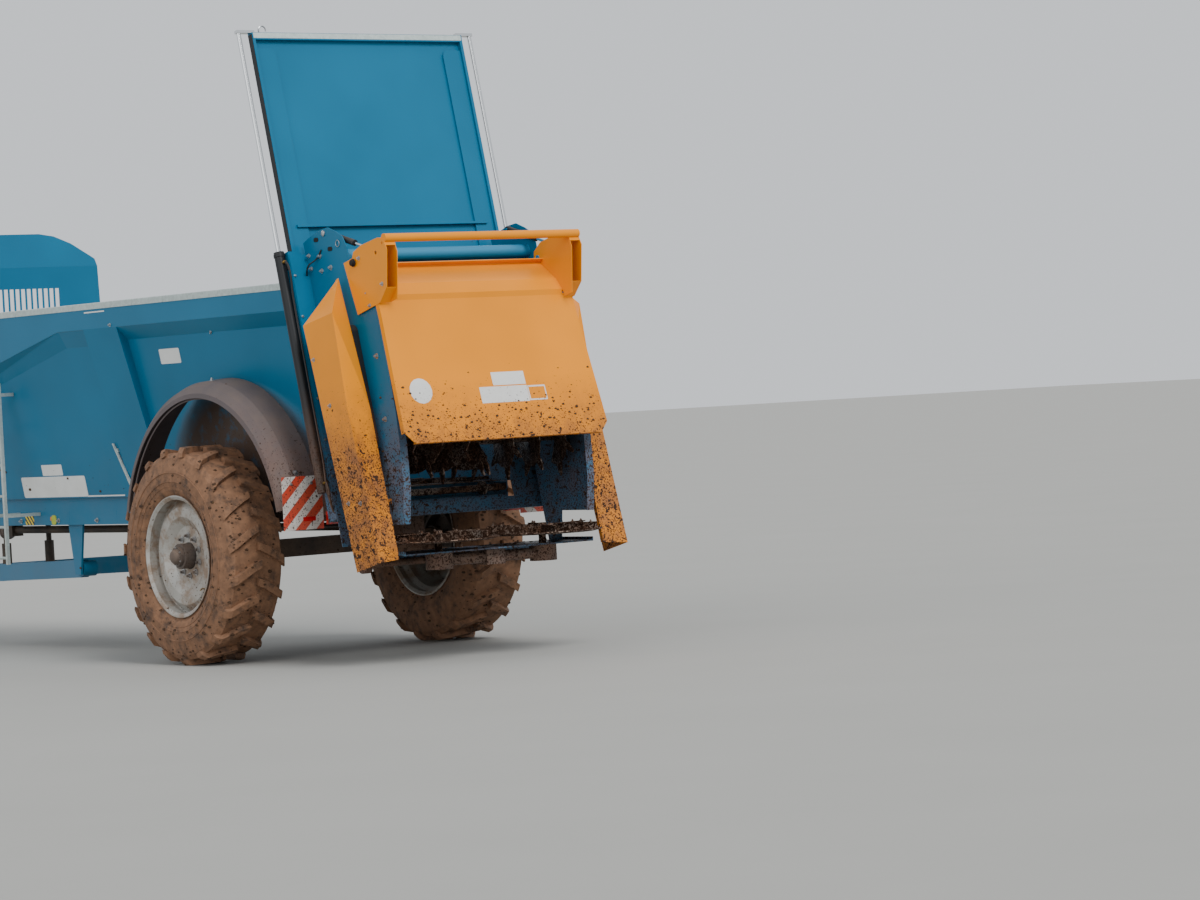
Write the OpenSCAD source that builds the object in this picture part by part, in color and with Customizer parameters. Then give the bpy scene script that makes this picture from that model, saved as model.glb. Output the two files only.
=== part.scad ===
// Rear-discharge manure spreader: narrow V body on one axle, leaning rear frame with a
// guillotine door, two horizontal beaters under a hood, and two spreading discs.
// Millimetres. +Z up, -Y forward, +X to the vehicle's left. The ground is at Z = 0.
// Modules are drawn from the middle of the axle's ground line and set by place().

/* [Wheels] */
// Diameter of a tyre over its lugs
tyre_d = 1810; // [1700:10:1900]
// Height of a tread lug
lug_h = 46; // [35:1:60]
// Lugs on each half of a tread
lug_n = 19; // [16:1:22]
// Width of a tyre at its sidewalls
tyre_w = 560; // [520:10:600]
// Diameter of the rim's flanges
rim_d = 1015; // [960:5:1060]
// Width of the rim across its flanges
rim_w = 500; // [460:5:520]
// Distance between the middles of the tyres
track = 2440; // [2400:10:2500]
// Wheel studs in a circle
stud_n = 10; // [8:1:12]
// Diameter of the stud circle
stud_pcd = 335; // [300:5:350]

/* [Body] */
// Length of the body ahead of the axle
body_front = 5500; // [4500:50:6000]
// Height of the floor above the ground
floor_z = 1390; // [1350:10:1450]
// Inner width of the floor
floor_w = 1500; // [1460:10:1540]
// Height of the side rails above the ground
rail_z = 3090; // [2950:10:3200]
// Outer width over the side rails
rail_w = 2200; // [2160:10:2240]
// Thickness of the body's sheets
sheet = 6; // [4:1:10]
// Height of the rails' outer face
fascia_h = 170; // [140:10:220]
// Depth of the light cap along each rail
cap_h = 55; // [40:5:70]
// Height of the headboard above the rails
head_rise = 815; // [600:5:900]

/* [Rear] */
// Forward lean of the rear frame and door, in degrees
lean_a = 13.1; // [11:0.1:15]
// Distance of the door plane behind the axle at floor level
door_y = 1766; // [1700:2:1850]
// Width of the door
door_w = 2080; // [2040:10:2100]
// Height of the door along its slope
door_h = 1955; // [1850:5:2000]
// Stroke of the door's cylinders
door_lift = 1850; // [1700:10:1900]
// Diameter of the door's rods
door_rod_d = 36; // [30:2:44]

/* [Spreading] */
// Diameter of the beaters over their tines
beater_d = 800; // [700:10:810]
// Diameter of the spreading discs
disc_d = 980; // [900:10:1000]
// Distance between the discs' shafts
disc_gap = 1020; // [1000:10:1080]
// Height of the discs above the ground
disc_z = 960; // [900:10:1000]

/* [Hitch] */
// Distance of the hitch ring ahead of the axle
hitch_y = 7350; // [7000:10:7600]
// Height of the hitch ring above the ground
hitch_z = 620; // [500:10:700]
// Bore of the hitch ring
ring_bore = 50; // [50:1:68]
// Distance of the parking jack ahead of the axle
jack_y = 6150; // [6000:10:6400]

/* [Hidden] */
$fn = 48;

// Clearances: running fits on the radius, seats between pieces, and free space round motion
fit = 0.06;
seat = 0.3;
clear = 6;

// The drawing's middle: the box reaches from the hitch ring to the discs
ring_r = 55;
disc_y = 2420;
rear_most = disc_y + disc_d / 2;
axle_y = (hitch_y + ring_r - rear_most) / 2;

// Wheels
axle_z = tyre_d / 2;
tyre_x = track / 2;
hub_bore = 45;
drum_r = 215;
dish_x = 130;

// Mudguards: centre, radius of the lip, and places of the lip and the inner edge
guard_y = 110;
guard_z = 1000;
guard_r = 1205;
guard_out = 1290;
guard_in = 950;

// Body sections, as half widths
floor_x = floor_w / 2;
rail_x = rail_w / 2;
fascia_z = rail_z - cap_h - fascia_h;
soffit_z = fascia_z - 110;
wall_top_x = rail_x - 100;
wall_s = (wall_top_x - sheet - floor_x) / (soffit_z - floor_z);
// Outer skin: foot of the panel and pilaster, and the soffit that joins them to the rail
foot_x = floor_x + 48;
band_h = 150;
pilaster_s = (rail_x - foot_x) / (fascia_z - floor_z);
panel_s = (rail_x - 80 - foot_x) / (fascia_z - band_h - floor_z);
pilaster_lean = 0.1295;
band_bend = -2450;
band_drop = 640;
skirt_z = floor_z - 248;
pilaster_front = -2000;
pilaster_rear = -1425;
rear_gap = 62;
// Conveyor: radius of its sprockets and places of its two shafts
conv_r = 55;
conv_front = -body_front + conv_r + 45;
conv_rear = 1605;
chain_x = 520;

// Drawbar: its rear pivots, and the cylinders that carry the body's nose on it
bar_pivot_y = -3010;
bar_pivot_z = 740;
bar_ram_y = -5240;
jack_x = 320;

// Rear frame
lean = tan(lean_a);
post_x = door_w / 2 + 8;
ram_x = post_x + 97;
door_low = 45;
post_top = door_low + door_h - 15;
barrel_top = post_top + 9;
seam = 56 + seat;

// Upper and lower beater, as [distance behind the axle, height]
upper_at = [2015, 2640];
lower_at = [2215, 1800];
shaft_r = 40;
cheek_x = 925;
cheek_t = 8;
case_w = 60;
case_r = 70;

// Hood: its hinge, and the foot and eye of its cylinders, as [distance behind the axle, height]
hood_pin = [2109, 3198];
ram_foot = [1660, 3460];
ram_eye = [2419, 3259];
hood_t = 6;
hood_x = cheek_x + cheek_t + 14;
hood_in = cheek_x - 75;
hood_ram_x = (hood_in + hood_t + cheek_x) / 2;
foot_r = 12;
hood_rod_r = 12;
wing_x = cheek_x + cheek_t + case_w + clear + 1;
wing_out = 1215;
drive_z = disc_z - 155;
// Lower end of the chain case, ahead of the discs' swing
case_low = [2040, drive_z];

blue = "#2e82a8";
orange = "#e08e18";
pale = "#c8d4d0";
steel = "#9aa0a4";
black = "#26282a";
guard_grey = "#6b5f5d";

function lean_y(z) = door_y - (z - floor_z) * lean;
function wall_x(z) = floor_x + (z - floor_z) * wall_s;
// Outer faces of the sloping wall and of the panel, and the line where the rail's fascia ends
function wall_out(z) = floor_x + sheet + (z - floor_z + 5) * (wall_top_x - floor_x - sheet) / (soffit_z - floor_z + 5 - sheet);
function panel_out(z) = foot_x + (z - floor_z) * panel_s;
function band_z(y) = fascia_z - band_drop * max(0, band_bend - y) / (band_bend + body_front);

module place() translate([0, axle_y, 0]) children();
module both() for (s = [1, -1]) scale([s, 1, 1]) children();
module on_lean() translate([0, door_y, floor_z]) rotate([lean_a, 0, 0]) children();
// A profile drawn in [Y, Z], given a thickness along X from x
module slab(x, t, points) translate([x, 0, 0]) rotate([90, 0, 90]) linear_extrude(t) polygon(points);
// A profile drawn in [X, Z], run along Y from y
module run(y, l, points) translate([0, y + l, 0]) rotate([90, 0, 0]) linear_extrude(l) polygon(points);
module rod_x(x, l, r) translate([x, 0, 0]) rotate([0, 90, 0]) cylinder(h = l, r = r);
module block(low, high) translate(low) cube(high - low);

// The body's sheets, rails and headboard
module floor_sheet() color(steel) {
        block([-floor_x + seat, conv_front + conv_r + 15, floor_z - 5], [floor_x - seat, conv_rear - conv_r - 15, floor_z]);
}

module cut_rear() difference() {
    children();
    on_lean() block([-rail_x - 10, -rear_gap, -400], [rail_x + 10, 900, 2400]);
}

// One side as folded sheets: sloping wall, soffit, outer face and top flange
module side_sheets() cut_rear() {
    top_x = wall_x(soffit_z);
    long = body_front + door_y + 300;
    run(-body_front, long, [
        [floor_x, floor_z - 5], [floor_x + sheet, floor_z - 5], [top_x + sheet, soffit_z - sheet],
        [rail_x, fascia_z], [rail_x, rail_z - cap_h], [top_x + 30, rail_z - cap_h],
        [top_x + 30, rail_z - cap_h - sheet], [rail_x - sheet, rail_z - cap_h - sheet],
        [rail_x - sheet, fascia_z + 2], [top_x, soffit_z]
    ]);
    // Inner lining of the rail box
    run(-body_front, long, [
        [top_x, soffit_z - 1], [top_x + sheet, soffit_z - 1],
        [top_x + 30 + sheet, rail_z - cap_h], [top_x + 30, rail_z - cap_h]
    ]);
}

// Outer skin ahead of the pilaster: a recessed panel under a rail that deepens towards the front
module front_panel() {
    y_front = -body_front;
    // Panel with a fold at its foot; its top follows the band
    difference() {
        run(y_front, body_front - 1790, [
            [floor_x + 3, floor_z - 5], [foot_x, floor_z - 5], [foot_x, floor_z],
            [panel_out(fascia_z - band_h) + 1, fascia_z - band_h + 6], [panel_out(fascia_z - band_h) - 6, fascia_z - band_h + 6],
            [foot_x - 6, floor_z + 1], [floor_x + 3, floor_z + 1]
        ]);
        slab(floor_x + 10, 600, [
            [y_front - 1, band_z(y_front) - band_h + 3], [band_bend, fascia_z - band_h + 3],
            [band_bend, fascia_z + 50], [y_front - 1, fascia_z + 50]
        ]);
    }
    // Fascia below the rail
    slab(rail_x - 6, 6, [[y_front, band_z(y_front)], [band_bend, fascia_z], [band_bend, fascia_z + 3], [y_front, fascia_z + 3]]);
    soffit();
    // End plate behind the headboard
    run(y_front, 6, [
        [floor_x + 3, floor_z], [foot_x, floor_z], inner_at(y_front), [rail_x, band_z(y_front)], [rail_x, fascia_z],
        [wall_top_x - 3, soffit_z - sheet]
    ]);
}
function inner_at(y) = [panel_out(band_z(y) - band_h), band_z(y) - band_h];

// Sloping soffit: one sheet, folded where the fascia's lower line bends; its edges run into their neighbours
module soffit() {
    stations = [pilaster_front + 40, band_bend, -body_front + 3];
    low = [for (y = stations) each [
        [rail_x - 2, y, band_z(y) + 2], [inner_at(y)[0] - 3, y, inner_at(y)[1] - 4]]];
    faces = [[0, 1, 3], [0, 3, 2], [2, 3, 5], [2, 5, 4]];
    edge = [0, 2, 4, 5, 3, 1];
    polyhedron(concat(low, [for (p = low) p + [0, 0, 6]]), concat(
        faces, [for (f = faces) [f[2] + 6, f[1] + 6, f[0] + 6]],
        [for (k = [0:5]) let (a = edge[k], b = edge[(k + 1) % 6]) [a, b, b + 6]],
        [for (k = [0:5]) let (a = edge[k], b = edge[(k + 1) % 6]) [a, b + 6, a + 6]]
    ));
}

// Pilaster: a box that leans forward towards its top
module pilaster() multmatrix([[1, 0, 0, 0], [0, 1, -pilaster_lean, fascia_z * pilaster_lean], [0, 0, 1, 0], [0, 0, 0, 1]]) {
    wide = pilaster_rear - pilaster_front;
    closing = [[floor_x + 3, floor_z - 5], [foot_x, floor_z - 5], [foot_x, floor_z], [rail_x, fascia_z],
               [wall_top_x - 3, soffit_z - sheet + 2]];
    run(pilaster_front, 6, closing);
    run(pilaster_rear - 6, 6, closing);
    run(pilaster_front, wide, [
        [foot_x, floor_z - 5], [foot_x, floor_z], [rail_x, fascia_z], [rail_x, fascia_z + 4], [rail_x - 6, fascia_z + 4],
        [rail_x - 6, fascia_z], [foot_x - 6, floor_z], [foot_x - 6, floor_z - 5]
    ]);
    run(pilaster_front, wide, [[floor_x + 3, floor_z - 5], [foot_x, floor_z - 5], [foot_x, floor_z + 1], [floor_x + 3, floor_z + 1]]);
}

module side_left() color(blue) {
    side_sheets();
    front_panel();
    pilaster();
}

module side_right() color(blue) mirror([1, 0, 0]) {
    side_sheets();
    front_panel();
    pilaster();
}

module rail_caps() color(pale) both() cut_rear() {
    run(-body_front, body_front + door_y, [
        [rail_x - 95, rail_z - cap_h + seat], [rail_x + 4, rail_z - cap_h + seat],
        [rail_x + 4, rail_z - 6], [rail_x - 2, rail_z], [rail_x - 89, rail_z], [rail_x - 95, rail_z - 6]
    ]);
}

module headboard() color(blue) {
    t = 8;
    y = -body_front - t - seat;
    crease = rail_z + 495;
    top = rail_z + head_rise;
    // Board under the crease, with a window of upright bars
    difference() {
        translate([0, y + t, 0]) rotate([90, 0, 0]) linear_extrude(t) polygon([
            [-floor_x - 8, floor_z - 5], [floor_x + 8, floor_z - 5],
            [rail_x, fascia_z], [rail_x - 20, crease], [-rail_x + 20, crease], [-rail_x, fascia_z]
        ]);
        for (i = [-10:10]) block([i * 62 - 22, y - 1, rail_z + 60], [i * 62 + 22, y + t + 1, rail_z + 285]);
    }
    // Upper part, bent forward at the crease
    translate([0, y + t, crease]) rotate([90 + 9, 0, 0]) linear_extrude(t) polygon([
        [-rail_x + 20, -3], [rail_x - 20, -3], [rail_x - 40, 70], [820, 225], [640, 300], [480, 326],
        [-480, 326], [-640, 300], [-820, 225], [-rail_x + 40, 70]
    ]);
    // Stiffeners on the front face
    for (x = [-620, 0, 620]) block([x - 40, y - 60, floor_z + 20], [x + 40, y, rail_z + 30]);
    for (z = [floor_z + 30, rail_z - 60, crease - 60]) block([-floor_x, y - 50, z], [floor_x, y, z + 50]);
}

// Frame under the floor, and the drawbar
module chassis() color(blue) {
    low = skirt_z;
    high = floor_z - 5 - seat;
    both() {
        // Channel rail with its flanges turned inwards
        run(-body_front, body_front + 1640, [
            [floor_x - 60, low], [floor_x + 4, low], [floor_x + 4, high], [floor_x - 60, high],
            [floor_x - 60, high - 10], [floor_x - 6, high - 10], [floor_x - 6, low + 10], [floor_x - 60, low + 10]
        ]);
        // Axle seat
        block([floor_x - 90, -170, axle_z + 75 + seat], [floor_x - 5, 170, low + 2]);
    }
    // Cross members
    for (y = [-body_front + 5, bar_ram_y - 45, -4500, -3800, -3050, -2200, -1350, -620, 300, 1200, 1540])
        block([-floor_x + 2, y, low + 8], [floor_x - 2, y + 90, low + 130]);
    // Brackets for the drawbar's rear pivots
    both() slab(floor_x - 50, 20, [
        [bar_pivot_y - 50, bar_pivot_z - 50], [bar_pivot_y + 50, bar_pivot_z - 50],
        [bar_pivot_y + 130, low + 2], [bar_pivot_y - 130, low + 2]
    ]);
    both() translate([0, bar_pivot_y, bar_pivot_z]) rod_x(floor_x - 205, 170, 25);
}

module axle() color(black) {
    block([-1090, -75, axle_z - 75], [1090, 75, axle_z + 75]);
    translate([0, 0, axle_z]) both() {
        rod_x(1089, 60, 95);
        rod_x(1148, 250, hub_bore);
    }
}

module hub(s) color(steel) translate([0, 0, axle_z]) scale([s, 1, 1]) {
    face = tyre_x + dish_x;
    difference() {
        union() {
            rod_x(1155, face - 40 - 1155, drum_r);
            rod_x(face - 41, 29, 205);
            rod_x(face - 13, 110, 105);
            rod_x(face + 96, 30, 80);
            for (i = [0:stud_n - 1]) rotate([i * 360 / stud_n, 0, 0])
                translate([0, 0, stud_pcd / 2]) rod_x(face - 13, 50, 11);
        }
        rod_x(1100, 310, hub_bore + fit);
        rod_x(1100, 150, drum_r - 25);
    }
}

module hub_left() hub(1);
module hub_right() hub(-1);

module rim(s) color("#b9bcba") translate([0, 0, axle_z]) scale([s, 1, 1]) translate([tyre_x, 0, 0]) {
    h = rim_w / 2;
    seat_r = rim_d / 2 - 25;
    difference() {
        union() {
            rotate([0, 90, 0]) rotate_extrude($fn = 96) polygon([
                [rim_d / 2, -h], [rim_d / 2, -h + 8], [seat_r, -h + 16], [seat_r, -h + 70],
                [seat_r - 35, -h + 110], [seat_r - 35, h - 150], [seat_r, h - 110], [seat_r, h - 16],
                [rim_d / 2, h - 8], [rim_d / 2, h], [rim_d / 2 - 10, h], [seat_r - 10, h - 18],
                [seat_r - 10, h - 107], [seat_r - 45, h - 146], [seat_r - 45, -h + 106],
                [seat_r - 10, -h + 67], [seat_r - 10, -h + 18], [rim_d / 2 - 10, -h]
            ]);
            // Dished disc
            rotate([0, 90, 0]) rotate_extrude($fn = 96) polygon([
                [112, dish_x - 12 + seat], [250, dish_x - 12 + seat], [330, dish_x + 40],
                [400, dish_x + 40], [seat_r - 11, dish_x - 10], [seat_r - 11, dish_x + 4],
                [404, dish_x + 54], [326, dish_x + 54], [246, dish_x], [112, dish_x]
            ]);
        }
        for (i = [0:stud_n - 1]) rotate([i * 360 / stud_n, 0, 0])
            translate([0, 0, stud_pcd / 2]) rod_x(dish_x - 20, 40, 12.5);
    }
}

module rim_left() rim(1);
module rim_right() rim(-1);

// Tyre: an open carcass with slanting lugs on both halves of the tread
module tyre(s) color(black) translate([0, 0, axle_z]) scale([s, 1, 1]) translate([tyre_x, 0, 0]) {
    r = tyre_d / 2;
    w = tyre_w / 2;
    base = r - lug_h;
    bead = rim_d / 2 - 25 + seat;
    lip = rim_w / 2 - 16 - seat;
    // Half section from the bead to the crown, as [radius, distance from the middle]
    outer = [[bead, lip], [bead + 30, lip - 2], [bead + 70, w - 22], [bead + 150, w],
             [bead + 230, w - 4], [base - 40, w - 32], [base, w - 62]];
    inner = [[base - 34, w - 90], [base - 90, w - 54], [bead + 190, w - 30], [bead + 80, w - 55],
             [bead, lip - 42]];
    section = concat(outer, [for (i = [6:-1:0]) [outer[i][0], -outer[i][1]]],
                     [for (i = [4:-1:0]) [inner[i][0], -inner[i][1]]], inner);
    rotate([0, 90, 0]) rotate_extrude($fn = 72) polygon(section);
    intersection() {
        for (h = [1, -1], i = [0:lug_n - 1])
            scale([h, 1, 1]) rotate([(i + (h > 0 ? 0 : 0.5)) * 360 / lug_n, 0, 0])
                translate([0, 0, base - 40]) linear_extrude(lug_h + 60) polygon([
                    [-12, -28], [70, 0], [w - 14, 118], [w - 14, 188], [60, 66], [-12, 34]
                ]);
        rotate([0, 90, 0]) rotate_extrude($fn = 72) polygon([
            [base - 30, -w + 20], [base + 10, -w + 30], [r, -w + 62], [r, w - 62], [base + 10, w - 30], [base - 30, w - 20]
        ]);
    }
}

module tyre_left() tyre(1);
module tyre_right() tyre(-1);

// Moulded mudguards, turned about a centre just behind and above the axle
module guard_shape() translate([0, guard_y, guard_z]) rotate([0, 90, 0]) rotate([0, 0, 102])
    rotate_extrude(angle = 156, $fn = 96) polygon([
        [guard_r, guard_out], [guard_r + 40, guard_out - 6], [guard_r + 95, guard_out - 50],
        [guard_r + 135, guard_out - 130], [guard_r + 155, guard_in],
        [guard_r + 148, guard_in], [guard_r + 128, guard_out - 128],
        [guard_r + 90, guard_out - 56], [guard_r + 37, guard_out - 14], [guard_r, guard_out - 8]
    ]);
module mudguards() color(guard_grey) both() guard_shape();

// Arms from the wall reach under the guard, at angles above the rear
module mudguard_stays() color(black) both() {
    r = guard_r + 141.8;
    for (a = [25, 90, 155]) {
        y = guard_y + r * cos(a);
        z = guard_z + r * sin(a);
        translate([0, y, z]) rotate([a - 90, 0, 0])
            block([wall_out(z + 25 * abs(cos(a))) + seat, -25, -10], [guard_in + 60, 25, 0]);
    }
}

// A beam's outer face along the drawbar, as a distance from the middle
beam_rear = bar_pivot_y - 40;
beam_nose = -6900;
beam_w = 80;
function beam_out(y) = 140 + (floor_x - 80 - 140) * (y - beam_nose) / (beam_rear - beam_nose);
module beam() translate([0, 0, hitch_z - 80]) {
    rise = (bar_pivot_z - hitch_z) / (beam_rear - beam_nose);
    multmatrix([[1, 0, 0, 0], [0, 1, 0, 0], [0, rise, 1, -beam_nose * rise], [0, 0, 0, 1]]) linear_extrude(160) polygon([
        [beam_out(beam_rear), beam_rear], [beam_out(beam_rear) - beam_w, beam_rear], [140 - beam_w, beam_nose],
        [140, beam_nose]
    ]);
}

module drawbar() color(blue) {
    difference() {
        union() {
            both() {
                // Beams closing towards the hitch, with an eye at each rear end
                beam();
                translate([0, bar_pivot_y, bar_pivot_z]) rod_x(floor_x - 200, 140, 70);
            }
            block([-150, -7060, hitch_z - 85], [150, -6700, hitch_z + 85]);
            block([-320, bar_ram_y - 50, hitch_z - 30], [320, bar_ram_y + 50, hitch_z + 95]);
        }
        both() translate([0, bar_pivot_y, bar_pivot_z]) rod_x(floor_x - 210, 160, 25 + fit);
    }
}

module drawbar_rams() color(black) both() {
    foot = hitch_z + 95 + seat;
    translate([230, bar_ram_y, foot]) cylinder(h = 230, r = 45);
    translate([230, bar_ram_y, foot + 229]) cylinder(h = skirt_z + 8 - seat - foot - 229, r = 26);
}

module hitch_ring() color(steel) translate([0, -hitch_y, hitch_z]) {
    shank = hitch_y - 7060;
    difference() {
        union() {
            cylinder(h = 42, r = ring_r, center = true);
            block([-30, 15, -21], [30, shank - 30, 21]);
            block([-75, shank - 40, -75], [75, shank - seat, 75]);
        }
        cylinder(h = 80, r = ring_bore / 2, center = true);
    }
}

// Parking jack: a square tube beside the left beam, and the leg that slides in it
module jack_tube() color(blue) translate([jack_x, -jack_y, 0]) {
    difference() {
        union() {
            block([-52, -52, 440], [52, 52, 1180]);
            translate([0, 0, 570]) linear_extrude(130) polygon([
                [-51, -50], [-51, 50], [beam_out(50 - jack_y) - jack_x + seat, 50],
                [beam_out(-50 - jack_y) - jack_x + seat, -50]
            ]);
        }
        block([-45, -45, 430], [45, 45, 1172]);
    }
}

module jack_leg() color(steel) translate([jack_x, -jack_y, 0]) {
    difference() {
        block([-45 + seat, -45 + seat, 19], [45 - seat, 45 - seat, 700]);
        block([-35, -35, 18], [35, 35, 701]);
    }
    block([-130, -110, 0], [130, 110, 20]);
}

// Floor conveyor: two chain runs with slats fused across them, its shafts and its drive
module floor_conveyor() color(steel) {
    link = 160;
    links = floor((conv_rear - conv_front - 20) / link);
    // Plan of a chain, one edge after the other: wide at each link's body and narrow at its joint
    edge = [for (i = [0:links - 1]) each [[6, 8], [13, 32], [13, 128], [6, 152]] + [for (k = [0:3]) [0, i * link]]];
    plan = concat(edge, [for (i = [len(edge) - 1:-1:0]) [-edge[i][0], edge[i][1]]]);
    both() translate([chain_x, conv_front, floor_z + seat]) linear_extrude(24) polygon(plan);
    for (i = [0:2:links - 1]) {
        y = conv_front + i * link + 66;
        block([-floor_x + 25, y, floor_z + 8], [floor_x - 25, y + 30, floor_z + 36]);
        block([-floor_x + 25, y, floor_z + 8], [floor_x - 25, y + 50, floor_z + 14]);
    }
}

module conveyor_shafts() color(steel) {
    for (y = [conv_front, conv_rear]) translate([0, y, floor_z - conv_r]) {
        rod_x(-floor_x + 6 + seat, 2 * (floor_x - 6 - seat), 28);
        for (x = [-chain_x, chain_x]) rod_x(x - 15, 30, conv_r);
    }
}

// Shafts from the input stub under the floor to the disc drives
module driveline() color(black) {
    front = -body_front + 7 - 150;
    // The rear box hands the drive down to a lower shaft
    low_z = 900;
    drop = low_z - drive_z;
    length = disc_y - 170 - seat - 1329;
    translate([0, front, 1060]) rotate([-90, 0, 0]) {
        cylinder(h = 160, r = 17.45);
        translate([0, 0, 159]) cylinder(h = 1200 - front - 159, r = 35);
    }
    block([-110, 1150, 830], [110, 1330, skirt_z + 8 - seat]);
    block([-60, -body_front + 7, 1000], [60, -body_front + 70, skirt_z + 8 - seat]);
    translate([0, 1329, low_z]) rotate([-90 - atan2(drop, length), 0, 0]) cylinder(h = norm([drop, length]) - 3, r = 26);
    // Box on the lower shaft, and the cross shaft to the chain case
    block([-62, 1985, 750], [62, 2100, 862]);
    translate([0, case_low[0], case_low[1]]) rod_x(0, cheek_x + cheek_t, 30);
}

// Leaning rear frame
module rear_frame() color(blue) on_lean() {
    both() {
        // C-shaped guide posts, open towards the door
        guide_post();
        // Plates that close the corners between the sloping walls and the posts
        difference() {
            block([floor_x - 4, -rear_gap + seat, -230], [post_x, -46, 1750]);
            rotate([-lean_a, 0, 0]) translate([0, -door_y, -floor_z]) run(0, 3000, [
                [0, floor_z + 1], [wall_x(floor_z) - 30, floor_z + 1], [wall_x(rail_z) - 30, rail_z], [0, rail_z]
            ]);
        }
    }
    block([-floor_x, -rear_gap + seat, -230], [floor_x, -46, -125]);
}

module guide_post() translate([0, 0, -230]) linear_extrude(post_top + 230) polygon([
    [post_x - 42, -56], [post_x + 50, -56], [post_x + 50, 56], [post_x - 42, 56], [post_x - 42, 46],
    [post_x, 46], [post_x, -46], [post_x - 42, -46]
]);

module door() color(blue) on_lean() translate([0, 0, door_lift + door_low]) {
    w = door_w / 2;
    block([-w + 20, -10, 0], [w - 20, -4, door_h]);
    both() block([w - 26, -28, 0], [w, 36, door_h]);
    both() door_field(w - 27, w - 210);
    block([-w, -28, door_h - 60], [w, 36, door_h]);
    block([-w + 20, -28, 0], [w - 20, 30, 40]);
    block([-w + 100, -5, 300], [w - 100, 36, 320]);
}

// Raised strip beside the flange, with a rounded top corner and a web back to the sheet
module door_field(outer, inner) {
    high = door_h - 130;
    round_r = 60;
    for (p = [[10, 6, 0], [-5, 16, 7]]) translate([0, p[0] + p[1], 0]) rotate([90, 0, 0]) linear_extrude(p[1]) difference() {
        union() {
            translate([inner, 30]) square([outer - inner, high - 30 - round_r]);
            translate([inner + round_r, high - round_r - 1]) square([outer - inner - round_r, round_r + 1]);
            translate([inner + round_r, high - round_r]) circle(r = round_r);
        }
        if (p[2] > 0) {
            translate([inner + p[2], 20]) square([outer - inner, high - 20 - round_r]);
            translate([inner + round_r, high - round_r - 1]) square([outer - inner, round_r + 1 - p[2]]);
            translate([inner + round_r, high - round_r]) circle(r = round_r - p[2]);
        }
    }
}

module door_rods() color(pale) on_lean() both() {
    top = door_lift + door_low + door_h;
    translate([ram_x, 0, barrel_top - 100]) cylinder(h = top - barrel_top + 110, r = door_rod_d / 2);
    translate([ram_x, 0, barrel_top - 100]) cylinder(h = 50, r = 30);
    block([door_w / 2 - 40, -20, top + seat], [ram_x + 24, 20, top + 24]);
}

module door_barrels() color(black) on_lean() both() translate([ram_x, 0, 0]) {
    difference() {
        union() {
            cylinder(h = barrel_top, r = 42);
            for (w = [60, 950, 1850]) block([post_x + 50 + seat - ram_x, -30, w], [-35, 30, w + 40]);
        }
        translate([0, 0, 12]) cylinder(h = barrel_top - 52, r = 31);
        translate([0, 0, 13]) cylinder(h = barrel_top, r = door_rod_d / 2 + fit);
    }
}

// Beater housing: two folded cheeks bolted behind the posts
module cheeks() color(blue) {
    front = seam / cos(lean_a);
    low = disc_z + 160;
    leg = disc_z - 90;
    rear = [[2360, 2870], [2400, 2750], [2553, 1977], [2585, 1700], [2600, 1400], [2570, low]];
    both() difference() {
        union() {
            slab(cheek_x, cheek_t, concat([
                [lean_y(leg) + front, leg], [lean_y(3400) + front, 3400], [1420, 3430], [1600, 3490], [1720, 3505],
                [1840, 3462], [1925, 3420], [1985, 3330], [2000, 3255], [2140, 3245], [2165, 3180], [2190, 3000]],
                rear, [[2140, low], [2115, leg]]));
            // Flange turned in along the rear edge
            slab(cheek_x - 60, 61, concat([for (i = [1:5]) rear[i]], [for (i = [5:-1:1]) rear[i] - [8, 0]]));
        }
        for (p = [upper_at, lower_at]) translate([0, p[0], p[1]]) rod_x(cheek_x - 1, cheek_t + 2, shaft_r + 12);
        translate([0, hood_pin[0], hood_pin[1]]) rod_x(cheek_x - 1, cheek_t + 2, hood_pin_r + 0.2);
    }
    // Flange turned out against the posts
    both() on_lean() block([cheek_x + 1, seam, leg - floor_z + 60], [post_x + 45, seam + cheek_t, post_top - 30]);
}

// Tube between the cheeks, pins for the feet of the hood's cylinders, and pins for the hood
hood_pin_r = 20;
module cheek_pins() color(blue) {
    translate([0, 1850, 3265]) rod_x(-cheek_x, 2 * cheek_x, 57);
    both() {
        translate([0, ram_foot[0], ram_foot[1]]) rod_x(hood_ram_x - 22, cheek_x - hood_ram_x + 22, foot_r);
        translate([0, hood_pin[0], hood_pin[1]]) rod_x(hood_in - 9, hood_x + hood_t + 9 - hood_in + 9, hood_pin_r);
    }
}

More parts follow.
